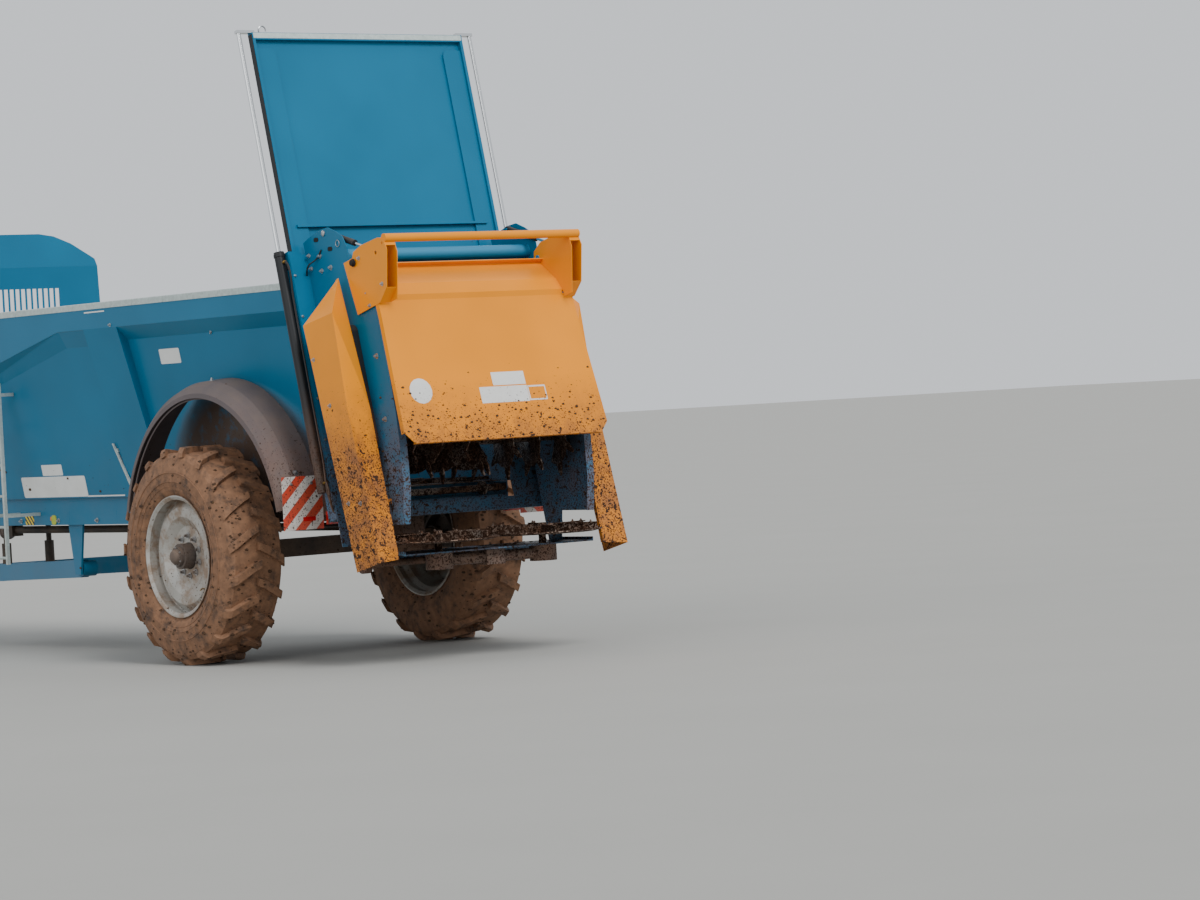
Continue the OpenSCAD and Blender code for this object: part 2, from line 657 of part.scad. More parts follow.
// Beater: tube with two starts of flighting from the middle to each end, and teeth bolted to its rim
flight_r = 300;
flight_pitch = 520;
module beater(p, turn) color(steel) translate([0, p[0], p[1]]) rotate([turn, 0, 0]) {
    reach = cheek_x - 25;
    step = 7.2;
    length = reach - 30;
    turns = length / flight_pitch;
    rod_x(-reach, 2 * reach, 100);
    rod_x(-cheek_x - 50, 2 * cheek_x + 100, shaft_r);
    for (s = [1, -1], start = [0, 180]) {
        scale([s, 1, 1]) rotate([start, 0, 0]) rotate([0, 90, 0])
            linear_extrude(length, twist = 360 * turns, slices = ceil(turns * 24), $fn = 5) polygon([
                [90 * cos(step), -90 * sin(step)], [flight_r * cos(step / 2), -flight_r * sin(step / 2)],
                [flight_r, 0], [flight_r * cos(step / 2), flight_r * sin(step / 2)], [90 * cos(step), 90 * sin(step)]
            ]);
        // Teeth stand against the flighting and reach past its rim
        for (i = [0:11]) {
            x = 20 + (length - 60) * i / 11;
            scale([s, 1, 1]) rotate([start, 0, 0]) translate([x, 0, 0]) rotate([-360 * x / flight_pitch, 0, 0])
                rotate([0, 90, 0]) linear_extrude(14) polygon([
                    [flight_r - 70, -28], [flight_r - 5, -34], [beater_d / 2 - 6, -16], [beater_d / 2, 0],
                    [flight_r + 20, 28], [flight_r - 70, 28]
                ]);
        }
    }
}
module upper_beater() beater(upper_at, 0);
module lower_beater() beater(lower_at, 45);

// Chain case on the left cheek, and the right-hand bearings
module beater_drive() color(black) {
    x = cheek_x + cheek_t + seat;
    difference() {
        union() {
            for (pair = [[upper_at, lower_at], [lower_at, case_low]]) hull() for (p = pair)
                translate([0, p[0], p[1]]) rod_x(x, case_w, case_r);
            for (p = [upper_at, lower_at]) translate([0, p[0], p[1]]) rod_x(-x - 55, 55, case_r);
        }
        for (p = [upper_at, lower_at]) translate([0, p[0], p[1]]) {
            rod_x(x - 1, 60, shaft_r + fit);
            rod_x(-x - 51, 52, shaft_r + fit);
        }
    }
}

// Table under the beaters, between the cheeks
module table() color(blue) difference() {
    union() {
        block([-cheek_x + seat, 1960, disc_z - 90], [cheek_x - seat, 2550, disc_z - 78]);
        both() block([cheek_x - 12, 1960, disc_z - 79], [cheek_x - seat, 2550, disc_z - 55]);
        block([-cheek_x + seat, 1960, disc_z - 140], [cheek_x - seat, 1972, disc_z - 79]);
    }
    both() translate([disc_gap / 2, disc_y, disc_z - 100]) cylinder(h = 60, r = 36);
    block([-70, 1950, disc_z - 150], [70, 2000, disc_z - 90.5]);
}

// Dished disc with six swept blades
module disc(s) color(steel) translate([s * disc_gap / 2, disc_y, disc_z]) scale([s, 1, 1]) {
    rotate_extrude($fn = 72) polygon([
        [0, 0], [disc_d / 2 - 60, 0], [disc_d / 2, 14], [disc_d / 2 - 1, 22], [disc_d / 2 - 62, 8], [0, 8]
    ]);
    cylinder(h = 60, r = 90);
    cylinder(h = 85, r = 40);
    translate([0, 0, -155]) cylinder(h = 156, r = 30);
    for (i = [0:5]) rotate([0, 0, i * 60]) translate([0, 0, 7]) {
        linear_extrude(68) polygon([
            [80, -5], [230, -9], [360, -30], [disc_d / 2 - 30, -66], [disc_d / 2 - 26, -57], [363, -21], [231, 0], [80, 5]
        ]);
        translate([0, 0, 60]) linear_extrude(8) polygon([
            [120, -3], [230, -9], [360, -30], [disc_d / 2 - 30, -66], [disc_d / 2 - 20, -36], [368, 0], [232, 22], [120, 20]
        ]);
    }
}
module disc_left() disc(1);
module disc_right() disc(-1);

// Bevel gearboxes under the table, on one cross shaft
module disc_drives() color(black) {
    both() translate([disc_gap / 2, disc_y, disc_z - 90 - seat]) difference() {
        translate([0, 0, -130]) cylinder(h = 130, r = 110);
        translate([0, 0, -70]) cylinder(h = 71, r = 30 + fit);
    }
    translate([0, disc_y, drive_z]) {
        rod_x(-disc_gap / 2 + 60, disc_gap - 120, 45);
        block([-90, -170, -60], [90, 60, 60]);
    }
}

// Hood: two boxed ears on the pins, a folded sheet, and a tube across their tops
ear = [[1958, 3203], [2084, 3235], [2104, 3284], [2219, 3330], [2454, 3375], [2533, 3362], [2579, 3277],
       [2549, 2979], [2444, 2865], [2121, 2784]];
ear_in = [[2048, 3169], [2058, 3250], [2148, 3320], [2250, 3345], [2454, 3372], [2533, 3360], [2576, 3260],
          [2548, 2890], [2455, 2868], [2415, 2925], [2340, 3015], [2210, 3100], [2132, 3155]];
face_top = [2413, 2880];
face_low = [2766, 1750];
face_out = 990;
module hood() color(orange) {
    both() difference() {
        union() {
            slab(hood_x, hood_t, ear);
            slab(hood_in, hood_t, ear_in);
            // Web that closes the ear's box over the rear edge
            slab(hood_in + 1, hood_x + 4 - hood_in, [
                [2454, 3375], [2533, 3362], [2560, 3310], [2554, 3306], [2529, 3355], [2453, 3368]
            ]);
            slab(hood_in + 1, hood_x + 4 - hood_in, [[2549, 2979], [2444, 2865], [2440, 2870], [2543, 2982]]);
        }
        translate([0, hood_pin[0], hood_pin[1]]) rod_x(hood_in - 1, hood_x + hood_t - hood_in + 2, 20 + fit);
        translate([0, ram_eye[0], ram_eye[1]]) rod_x(hood_x - 1, hood_t + 2, 15);
        translate([0, 2516, 3330]) rod_x(hood_x - 1, hood_t + 2, 11);
    }
    // Upper facets between the ears, with a fold along the front edge
    facets = [[2132, 3155], [2210, 3100], [2340, 3015], [2415, 2925], face_top];
    slab(-hood_in - 1, 2 * hood_in + 2, concat(facets, [for (i = [4:-1:0]) facets[i] - [6, 3]]));
    slab(-hood_in - 1, 2 * hood_in + 2, [[2128, 3150], [2128, 3166], [2175, 3190], [2179, 3184], [2134, 3161], [2134, 3150]]);
    // Flat face that widens downwards, with side flanges turned forward
    across = face_low - face_top;
    long = norm(across);
    tilt = atan2(across[0], -across[1]);
    translate([0, face_top[0], face_top[1]]) rotate([tilt, 0, 0]) {
        translate([0, 0, 0]) rotate([90, 0, 0]) linear_extrude(hood_t) polygon([
            [-hood_x - 3, 12], [hood_x + 3, 12], [hood_x + 3, -130], [face_out, -long + 90], [face_out - 80, -long],
            [-face_out + 80, -long], [-face_out, -long + 90], [-hood_x - 3, -130]
        ]);
        translate([-face_out + 80, -30, -long]) cube([2 * face_out - 160, 30, hood_t]);
        // Side flanges
        both() translate([0, -1, 0]) rotate([90, 0, 0]) linear_extrude(44) polygon([
            [hood_x - 3, 5], [hood_x + 3, 5], [hood_x + 3, -130], [face_out, -long + 90], [face_out - hood_t, -long + 90],
            [hood_x - 3, -130]
        ]);
    }
    translate([0, 2535, 3368]) rod_x(-hood_x - 1, 2 * hood_x + 2, 34);
}

// Cylinders of the hood, drawn along the line from foot to eye
ram_l = norm(ram_eye - ram_foot);
ram_a = atan2(ram_eye[1] - ram_foot[1], ram_eye[0] - ram_foot[0]);
ram_tube = 400;
module on_ram(s) scale([s, 1, 1]) translate([hood_ram_x, ram_foot[0], ram_foot[1]]) rotate([ram_a, 0, 0]) children();
module hood_barrel(s) color(black) on_ram(s) difference() {
    union() {
        rod_x(-18, 36, 24);
        translate([0, 20, 0]) rotate([-90, 0, 0]) cylinder(h = ram_tube - 20, r = 25);
    }
    rod_x(-20, 40, foot_r + fit);
    translate([0, 45, 0]) rotate([-90, 0, 0]) cylinder(h = ram_tube - 75, r = 19);
    translate([0, 45, 0]) rotate([-90, 0, 0]) cylinder(h = ram_tube, r = hood_rod_r + fit);
}
module hood_rod(s) color(pale) on_ram(s) {
    {
        translate([0, ram_tube - 65, 0]) rotate([-90, 0, 0]) cylinder(h = ram_l - ram_tube + 45, r = hood_rod_r);
        translate([0, ram_tube - 65, 0]) rotate([-90, 0, 0]) cylinder(h = 25, r = 18);
        translate([0, ram_l, 0]) rod_x(-16, 32, 24);
        // Short pin that points at the ear's plates
        translate([0, ram_l, 0]) rod_x(hood_in + hood_t + clear - hood_ram_x, hood_x - hood_in - hood_t - 2 * clear, foot_r);
    }
}
module hood_barrel_left() hood_barrel(1);
module hood_barrel_right() hood_barrel(-1);
module hood_rod_left() hood_rod(1);
module hood_rod_right() hood_rod(-1);

// Folded side covers: one sheet of an outer face, rear faces, a sloping top and an inner flange
wing_t = 5;
// Corners, each as [point, step through the sheet]
wing_corners = [
    [[wing_out, 1723, 2726], [-1, 0, -1]], [[wing_out, 2302, 763], [-1, 0, 0]],
    [[wing_out, 2152, 2809], [-1, -1, -1]], [[wing_out, 2288, 2071], [-1, -1, 0]], [[wing_out, 2629, 837], [-1, -1, 0]],
    [[wing_x, 1943, 3089], [1, -1, -1]], [[wing_x, 2293, 2048], [1, -1, 0]], [[wing_x, 2585, 852], [1, -1, 0]],
    [[wing_x, 1908, 3074], [1, 0, -1]], [[wing_x, 2258, 2048], [1, 0, 0]], [[wing_x, 2550, 852], [1, 0, 0]]
];
wing_faces = [
    [0, 1, 3], [1, 4, 3], [0, 3, 2], [2, 3, 6], [2, 6, 5], [3, 4, 7], [3, 7, 6],
    [5, 6, 9], [5, 9, 8], [6, 7, 10], [6, 10, 9], [0, 2, 5]
];
wing_edge = [0, 1, 4, 7, 10, 9, 8, 5];
module wing() {
    n = len(wing_corners);
    m = len(wing_edge);
    polyhedron(concat([for (c = wing_corners) c[0]], [for (c = wing_corners) c[0] + wing_t * c[1]]), concat(
        [for (f = wing_faces) [f[2], f[1], f[0]]],
        [for (f = wing_faces) [f[0] + n, f[1] + n, f[2] + n]],
        [for (k = [0:m - 1]) let (a = wing_edge[k], b = wing_edge[(k + 1) % m]) [a, b, b + n]],
        [for (k = [0:m - 1]) let (a = wing_edge[k], b = wing_edge[(k + 1) % m]) [a, b + n, a + n]]
    ));
    // Brackets to the cheek, as [Y, Z]
    for (p = [[1835, 2430], [2225, 1285], [2395, 1285]])
        block([cheek_x + cheek_t + seat, p[0], p[1]], [wing_out - 4, p[0] + 30, p[1] + 40]);
}
module wings() color(orange) {
    wing();
    mirror([1, 0, 0]) wing();
}

// Arms behind the wheels carry a lamp and a marker board each
module lamp_arms() color(black) both() {
    block([floor_x + 4 + seat, 1450, 1165], [floor_x + 580, 1490, 1205]);
    block([floor_x + 395, 1470, 1204], [floor_x + 435, 1490, 1500]);
}
module tail_lamps() color("#a02020") both()
    block([floor_x + 50, 1490 + seat, 1130], [floor_x + 200, 1530, 1235]);
module marker_boards() color("#d8d8d8") both()
    block([floor_x + 225, 1490 + seat, 1100], [floor_x + 605, 1494, 1530]);

// Ladder on the left: stiles, rungs, and brackets to the panel and to the frame
ladder_x = 1090;
ladder_low = 806;
ladder_top = 2451;
module ladder() color(pale) {
    for (y = [-3990, -3610]) {
        block([ladder_x, y, ladder_low], [ladder_x + 30, y + 30, ladder_top]);
        block([floor_x + 4 + seat, y, 1230], [ladder_x + 10, y + 30, 1260]);
        block([panel_out(ladder_top - 90) + seat, y, ladder_top - 120], [ladder_x + 10, y + 30, ladder_top - 90]);
    }
    for (z = [ladder_low + 60:280:ladder_top - 60])
        translate([ladder_x + 15, -3970, z]) rotate([-90, 0, 0]) cylinder(h = 370, r = 13);
}

// Tapered bar held off the left panel by two clips
module on_panel() translate([panel_out(floor_z), 0, floor_z]) rotate([0, atan(panel_s), 0]) children();
module side_lever() color(pale) on_panel() {
    low = -45;
    high = 478;
    slab(12, 14, [[-1732, low], [-1688, low], [-1942, high], [-1958, high]]);
    proud = 50 * (pilaster_s - panel_s);
    slab(seat + proud, 13 - proud, [[-1740, 20], [-1700, 20], [-1712, 50], [-1752, 50]]);
    slab(seat, 13, [[-1925, 400], [-1895, 400], [-1905, 430], [-1935, 430]]);
}

place() floor_sheet();  // floor
place() side_left();
place() side_right();
place() rail_caps();
place() headboard();
place() chassis();
place() drawbar();
place() drawbar_rams();
place() hitch_ring();
place() jack_tube();
place() jack_leg();
place() axle();
place() hub_left();
place() hub_right();
place() rim_left();
place() rim_right();
place() tyre_left();
place() tyre_right();
place() mudguards();
place() mudguard_stays();
place() floor_conveyor();
place() conveyor_shafts();
place() driveline();
place() rear_frame();
place() door();
place() door_rods();
place() door_barrels();
place() cheeks();
place() cheek_pins();
place() upper_beater();
place() lower_beater();
place() beater_drive();
place() table();
place() disc_left();
place() disc_right();
place() disc_drives();
place() hood();
place() hood_barrel_left();
place() hood_barrel_right();
place() hood_rod_left();
place() hood_rod_right();
place() wings();
place() lamp_arms();
place() tail_lamps();
place() marker_boards();
place() ladder();
place() side_lever();
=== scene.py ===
"""Dresses a manure spreader: finishes on its solids, fastenings, plates and a studio."""
import math
from functools import cached_property, partial

import bmesh
import bpy
from bpy.props import (
    FloatProperty, FloatVectorProperty, IntProperty, PointerProperty, StringProperty)
from mathutils import Matrix, Vector
from mathutils.bvhtree import BVHTree


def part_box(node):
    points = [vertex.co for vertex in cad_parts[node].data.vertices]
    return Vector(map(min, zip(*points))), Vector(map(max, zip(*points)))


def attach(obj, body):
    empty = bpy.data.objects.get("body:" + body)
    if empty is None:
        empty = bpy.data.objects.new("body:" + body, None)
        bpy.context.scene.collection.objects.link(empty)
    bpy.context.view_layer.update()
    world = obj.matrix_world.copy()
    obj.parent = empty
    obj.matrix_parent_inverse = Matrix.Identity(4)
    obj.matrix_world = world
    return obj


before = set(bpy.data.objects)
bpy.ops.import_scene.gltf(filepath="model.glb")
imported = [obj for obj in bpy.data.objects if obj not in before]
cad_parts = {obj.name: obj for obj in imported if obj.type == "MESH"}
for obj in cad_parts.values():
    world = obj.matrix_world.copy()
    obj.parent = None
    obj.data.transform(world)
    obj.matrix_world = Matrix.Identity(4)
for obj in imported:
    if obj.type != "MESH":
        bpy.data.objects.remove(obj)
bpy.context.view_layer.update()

bl_info = {
    "name": "Manure Spreader",
    "version": (1, 0, 0),
    "blender": (4, 5, 0),
    "location": "View3D > Sidebar > Spreader",
    "description": "Finishes, fastenings, plates and studio for a rear-discharge spreader",
    "category": "Object",
}

MM = 0.001
LEFT = Vector((1, 0, 0))
BEHIND = Vector((0, 1, 0))
UP = Vector((0, 0, 1))
SIDES = ((1, "left"), (-1, "right"))

AXLE = sum(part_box("hub_left"), Vector()) / 2
AXLE.x = 0

# Directions of the leaning rear frame: up its slope, and square out of the door
LEAN = math.radians(13.1)
SLOPE_UP = Vector((0, -math.sin(LEAN), math.cos(LEAN)))
SLOPE_OUT = Vector((0, math.cos(LEAN), math.sin(LEAN)))

# Gap under a plate that lies on a face
SEAT = 0.2 * MM
# Distances of outer faces and cylinders from the middle, in mm
SKIRT, CHEEK, EAR, RAIL, GUARD, DOOR_RAM, WING = 800, 933, 953, 1100, 1120, 1145, 1215
# Middle of the mudguards' arc, behind the axle and above the ground, in mm
GUARD_ARC = (137, 1000)


def at(x, y, z):
    """A place in mm: left of the middle, behind the axle and above the ground."""
    return Vector((x * MM, AXLE.y + y * MM, z * MM))


def lean(x, out, up):
    """A place on the leaning frame in mm: from the middle, behind the door, and up the slope."""
    return at(x, 1766, 1390) + SLOPE_OUT * out * MM + SLOPE_UP * up * MM


def spoke(radius, degrees, first=BEHIND, second=UP):
    """A step of so many mm, turned by degrees from one direction towards another."""
    angle = math.radians(degrees)
    return (first * math.cos(angle) + second * math.sin(angle)) * radius * MM


def circle(centre, radius, count, start=0, first=BEHIND, second=UP):
    """Places evenly round a centre."""
    return [centre + spoke(radius, start + 360 * i / count, first, second) for i in range(count)]


# Mud on the wall: the middle of its arc, and the radii in metres where it begins and is full
ARCH_MIDDLE = at(0, 110, 1000)
ARCH_EDGE = (1.4, 1.18)

SKINS = {}


def skin(node):
    """Search tree over a solid's faces."""
    if node not in SKINS:
        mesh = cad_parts[node].data
        SKINS[node] = BVHTree.FromPolygons(
            [v.co for v in mesh.vertices], [p.vertices for p in mesh.polygons])
    return SKINS[node]


def seated(node, places, direction, reach=0.5):
    """Where lines along a direction, from a little before each place, meet a solid, and its
    facing there."""
    direction = direction.normalized()
    found = []
    for place in places:
        spot, normal, _, _ = skin(node).ray_cast(place - direction * reach, direction, 2 * reach)
        if spot is not None:
            found.append((spot, normal if normal.dot(direction) < 0 else -normal))
    if not found:
        raise RuntimeError(f"nothing of {node} lies there")
    return found


def linear(colour):
    """An sRGB hex colour, or one named in the settings, as the linear RGBA that shaders take."""
    colour = getattr(colours(), colour, colour)
    channels = [int(colour[i:i + 2], 16) / 255 for i in (1, 3, 5)]
    return [c / 12.92 if c <= 0.04045 else ((c + 0.055) / 1.055) ** 2.4 for c in channels] + [1.0]


def paint(name, description, default):
    return StringProperty(name=name, description=description, default=default)


def length(name, description, default):
    return FloatProperty(name=name, description=description, default=default, unit="LENGTH")


class PhotoSettings(bpy.types.PropertyGroup):
    """Where the photograph was taken from"""
    azimuth: FloatProperty(
        name="Azimuth", description="Turn of the camera about the machine, from the hitch's side",
        default=142.99)
    elevation: FloatProperty(
        name="Elevation", description="Degrees that the camera looks down by", default=0.83)
    roll: FloatProperty(name="Roll", description="Degrees that the picture leans by", default=3.18)
    place: FloatVectorProperty(
        name="Place", description="Camera's place, measured from the ground under the axle",
        default=(17.87, 27.64, 2.055), subtype="TRANSLATION", unit="LENGTH")
    lens: FloatProperty(
        name="Lens", description="Focal length on a sensor 36 mm wide", default=115.92)


class ColourSettings(bpy.types.PropertyGroup):
    """Paints, dirt and mouldings, as sRGB hex"""
    blue: paint("Blue", "Body paint", "#056A8E")
    orange: paint("Orange", "Hood paint", "#F29300")
    pale: paint("Rail", "Galvanised rail caps", "#C3CFCC")
    silver: paint("Rim", "Rim paint", "#B9B8B2")
    moulding: paint("Mudguard", "Moulded plastic", "#4A4344")
    rubber: paint("Tyre", "Rubber under the dirt", "#2A2624")
    dust: paint("Dust", "Dried film of soil", "#8A7460")
    haze: paint("Haze", "Brown haze at the rear", "#7A4E34")
    muck: paint("Muck", "Fresh flecks", "#3A261A")


class DirtSettings(bpy.types.PropertyGroup):
    """How high and how far forward the machine is dirty"""
    splash_top: length("Splash top", "Height where flecks thin out", 2.4)
    splash_full: length("Splash full", "Height where flecks are thickest", 1.6)
    haze_top: length("Haze top", "Height where the brown haze at the rear ends", 2.25)
    splash_front: length("Splash front", "Place ahead of which few flecks land", 0.9)
    dust_top: length("Dust top", "Height where road film thins out", 2.1)


class FastenerSettings(bpy.types.PropertyGroup):
    """Bolts and wheel nuts"""
    wheel_nut: length("Wheel nut", "Across flats of a wheel nut", 30 * MM)
    bolt: length("Bolt", "Across flats of a body bolt", 24 * MM)


def photo():
    return bpy.context.scene.spreader_photo


def colours():
    return bpy.context.scene.spreader_colours


def dirt():
    return bpy.context.scene.spreader_dirt


def fasteners():
    return bpy.context.scene.spreader_fasteners


# Shader and geometry graphs

def add(tree, kind, inputs=None, **settings):
    """A new node's outputs; an input takes a value, or a socket to link from."""
    node = tree.nodes.new(kind)
    for name, value in settings.items():
        setattr(node, name, value)
    for key, value in (inputs or {}).items():
        if isinstance(value, bpy.types.NodeSocket):
            tree.links.new(value, node.inputs[key])
        else:
            node.inputs[key].default_value = value
    return node.outputs


def maths(tree, operation, a, b=0.0):
    return add(tree, "ShaderNodeMath", {0: a, 1: b}, operation=operation)[0]


def times(tree, product, *factors):
    """The product of values and sockets."""
    for factor in factors:
        product = maths(tree, "MULTIPLY", product, factor)
    return product


def fade(tree, value, start, end):
    """0 at start, 1 at end, held outside them."""
    inputs = {"Value": value, "From Min": start, "From Max": end}
    return add(tree, "ShaderNodeMapRange", inputs, clamp=True)["Result"]


def object_place(tree):
    return add(tree, "ShaderNodeTexCoord")["Object"]


def true_normal(tree):
    return add(tree, "ShaderNodeNewGeometry")["Normal"]


def axes(tree, vector):
    return add(tree, "ShaderNodeSeparateXYZ", {0: vector})


def grain(tree, millimetres, detail=3.0, roughness=0.55, stretch=None):
    """Noise whose blotches are about so many millimetres wide."""
    where = object_place(tree)
    if stretch:
        where = add(tree, "ShaderNodeMapping", {"Vector": where, "Scale": stretch})["Vector"]
    inputs = {"Vector": where, "Scale": 0.5 / (millimetres * MM), "Detail": detail,
              "Roughness": roughness}
    return add(tree, "ShaderNodeTexNoise", inputs)["Fac"]


def blend(tree, share, under, over):
    """Colour under, covered by colour over to a share; a string is read as linear does."""
    under, over = (linear(c) if isinstance(c, str) else c for c in (under, over))
    inputs = {0: share, 6: under, 7: over}
    return add(tree, "ShaderNodeMix", inputs, data_type="RGBA", clamp_factor=True)[2]


def bump(tree, shader, height, distance, strength):
    """Joins a relief to the shader; its distance is in mm."""
    inputs = {"Height": height, "Distance": distance * MM, "Strength": strength}
    tree.links.new(add(tree, "ShaderNodeBump", inputs)[0], shader.inputs["Normal"])


def dust_share(tree, amount):
    """Dried film: thicker low down, on what faces up, and in blotches."""
    lowness = fade(tree, axes(tree, object_place(tree))[2], dirt().dust_top, 0.3)
    on_top = fade(tree, axes(tree, true_normal(tree))[2], 0.25, 0.95)
    cover = maths(tree, "ADD", times(tree, lowness, 0.75), times(tree, on_top, 0.35))
    blotch = fade(tree, grain(tree, 160, 5.0, 0.65), 0.3, 0.68)
    return times(tree, cover, blotch, amount)


def fleck_share(tree, amount):
    """Splashes of muck: small flecks and a few larger spots, low and towards the rear."""
    where = axes(tree, object_place(tree))
    lowness = fade(tree, where[2], dirt().splash_top, dirt().splash_full)
    rearness = fade(tree, where[1], dirt().splash_front, 4.2)
    cover = times(tree, maths(tree, "POWER", lowness, 1.5), rearness, amount)
    spots = []
    for size, bare in ((7, 0.7), (24, 0.75)):
        # The noise has to rise over a threshold that sinks where the cover is thick
        threshold = maths(tree, "SUBTRACT", bare, times(tree, cover, 0.16))
        above = maths(tree, "SUBTRACT", grain(tree, size, 3.0, 0.6), threshold)
        spots.append(fade(tree, above, 0.0, 0.03))
    return times(tree, maths(tree, "MAXIMUM", *spots), fade(tree, cover, 0.0, 0.12))


def haze_share(tree, amount):
    """Brown haze that the discs throw back over the lower rear."""
    where = axes(tree, object_place(tree))
    lowness = fade(tree, where[2], dirt().haze_top, 1.65)
    rearness = fade(tree, where[1], 1.6, 4.6)
    cloud = fade(tree, grain(tree, 70, 5.0, 0.7), 0.22, 0.62)
    return times(tree, lowness, rearness, cloud, amount)


def arch_share(tree):
    """Mud that a wheel throws at the wall beside it, within the guard's arc."""
    where = axes(tree, object_place(tree))
    offsets = [maths(tree, "SUBTRACT", where[i], ARCH_MIDDLE[i]) for i in (1, 2)]
    squares = [times(tree, offset, offset) for offset in offsets]
    radius = maths(tree, "POWER", maths(tree, "ADD", *squares), 0.5)
    inside = fade(tree, radius, *ARCH_EDGE)
    outward = fade(tree, times(tree, where[0], axes(tree, true_normal(tree))[0]), 0.1, 0.4)
    cloud = fade(tree, grain(tree, 60, 5.0, 0.7), 0.2, 0.48)
    return times(tree, inside, outward, cloud)


def edge_share(tree, radius):
    """Where a surface bends within a radius: a bevelled normal that leaves the true one."""
    soft = add(tree, "ShaderNodeBevel", {"Radius": radius * MM}, samples=3)[0]
    inputs = {0: soft, 1: true_normal(tree)}
    dot = add(tree, "ShaderNodeVectorMath", inputs, operation="DOT_PRODUCT")["Value"]
    return fade(tree, dot, 0.99, 0.86)


class Finish:
    """A Principled material, made when first asked for, and the record's slot for its pieces.

    build joins a graph to the shader; sockets are named with underscores."""

    def __init__(self, slot, colour, roughness, build, **sockets):
        self.slot = slot
        self.colour = colour
        self.build = build
        self.sockets = {"roughness": roughness, **sockets}

    @cached_property
    def material(self):
        material = bpy.data.materials.new(self.build.__name__)
        material.use_nodes = True
        material.diffuse_color = linear(self.colour)
        shader = material.node_tree.nodes["Principled BSDF"]
        shader.inputs["Base Color"].default_value = linear(self.colour)
        for key, value in self.sockets.items():
            socket = key.replace("_", " ").title().replace("Ior", "IOR")
            shader.inputs[socket].default_value = value
        self.build(material.node_tree, shader)
        return material


def soiled(tree, shader, clean, dust, flecks, grit=None, haze=0.5):
    """Joins a clean colour to the shader under dust, haze, flecks and their relief."""
    film = dust_share(tree, dust)
    spots = fleck_share(tree, flecks)
    colour = blend(tree, film, clean, "dust")
    colour = blend(tree, haze_share(tree, haze), colour, "haze")
    colour = blend(tree, spots, colour, "muck")
    tree.links.new(colour, shader.inputs["Base Color"])
    rough = shader.inputs["Roughness"]
    inputs = {"Value": maths(tree, "MAXIMUM", film, spots), "To Min": rough.default_value,
              "To Max": 0.9}
    tree.links.new(add(tree, "ShaderNodeMapRange", inputs)["Result"], rough)
    height = spots if grit is None else maths(tree, "ADD", spots, grit)
    bump(tree, shader, height, 1.2, 0.6)


def barred(tree, along, pitch, edges):
    """1 on the bars and 0 between them, where bars repeat by a pitch in mm."""
    bar = maths(tree, "FRACT", maths(tree, "DIVIDE", along, pitch * MM))
    return fade(tree, maths(tree, "ABSOLUTE", maths(tree, "SUBTRACT", bar, 0.5)), *edges)


# Finishes

def enamel(name, slot, colour, roughness, dust=0.22, haze=0.5, arch=0.0):
    """Sprayed enamel: slight orange peel, a clear top, worn to grey on edges."""
    def build(tree, shader):
        tone = fade(tree, grain(tree, 420, 2.0), 0.3, 0.7)
        shade = [c * 0.86 for c in linear(colour)[:3]] + [1.0]
        clean = blend(tree, tone, shade, colour)
        # Chips break the edges where stones and tools have hit
        chip = fade(tree, grain(tree, 14, 4.0, 0.7), 0.52, 0.6)
        clean = blend(tree, times(tree, edge_share(tree, 3), chip, 0.6), clean, "#6E6B66")
        if arch:
            clean = blend(tree, times(tree, arch_share(tree), arch), clean, "#54402F")
        soiled(tree, shader, clean, dust, 1.0, times(tree, grain(tree, 5, 1.0), 0.05), haze)

    build.__name__ = name
    return Finish(slot, colour, roughness, build, coat_weight=0.05, coat_roughness=0.2,
                  specular_ior_level=0.24)


def mottled(name, slot, colour, roughness, noise, tones, dirt, grit=None, edges=None, **sockets):
    """A clean colour that wanders between two tones along a noise, which edges may sharpen.

    dirt is the shares of dust and flecks, grit the size, detail and height of a relief."""
    def build(tree, shader):
        share = grain(tree, *noise)
        if edges:
            share = fade(tree, share, *edges)
        relief = grit and times(tree, grain(tree, *grit[:2]), grit[2])
        soiled(tree, shader, blend(tree, share, *tones), *dirt, relief)

    build.__name__ = name
    return Finish(slot, colour, roughness, build, **sockets)


blue_enamel = enamel("blue_enamel", "blue", "blue", 0.34, arch=0.92)
orange_enamel = enamel("orange_enamel", "orange", "orange", 0.36, 0.12, 0.85)
black_enamel = enamel("black_enamel", "black", "#202224", 0.42, 0.9)
# Bare steel polished by the load, with brown staining between
worn_steel = mottled("worn_steel", "steel", "#77756F", 0.42, (90, 5.0, 0.7), (
    "#8C8A84", "#4B3527"), (1.0, 1.4), (6, 3.0, 0.3), (0.42, 0.62), metallic=0.8)
# Bolt head scoured bright by the load, with rusty patches
worn_bolt = mottled("worn_bolt", "galvanised", "#83807A", 0.4, (9, 4.0, 0.7), (
    "#8B8882", "#5A3A26"), (0.9, 1.0), edges=(0.48, 0.6), metallic=0.85)
# Bright zinc on a pressed bolt head
zinc_bolt = mottled("zinc_bolt", "galvanised", "#B9BCBE", 0.32, (8,), (
    "#9C9FA1", "#C9CBCC"), (0.5, 0.6), metallic=0.9)
# Turned brass, dulled: hose ends and grease points
brass_fitting = mottled("brass_fitting", "galvanised", "#A98A4A", 0.38, (8,), (
    "#8F7440", "#BC9C58"), (0.5, 0.5), metallic=0.95)
# Grey iron with the mould's grain, under dust
sand_casting = mottled("sand_casting", "cast", "#4C4E50", 0.6, (40,), (
    "#3B3D40", "#5C5D5D"), (1.0, 1.0), (3, 2.0, 0.5), metallic=0.4)
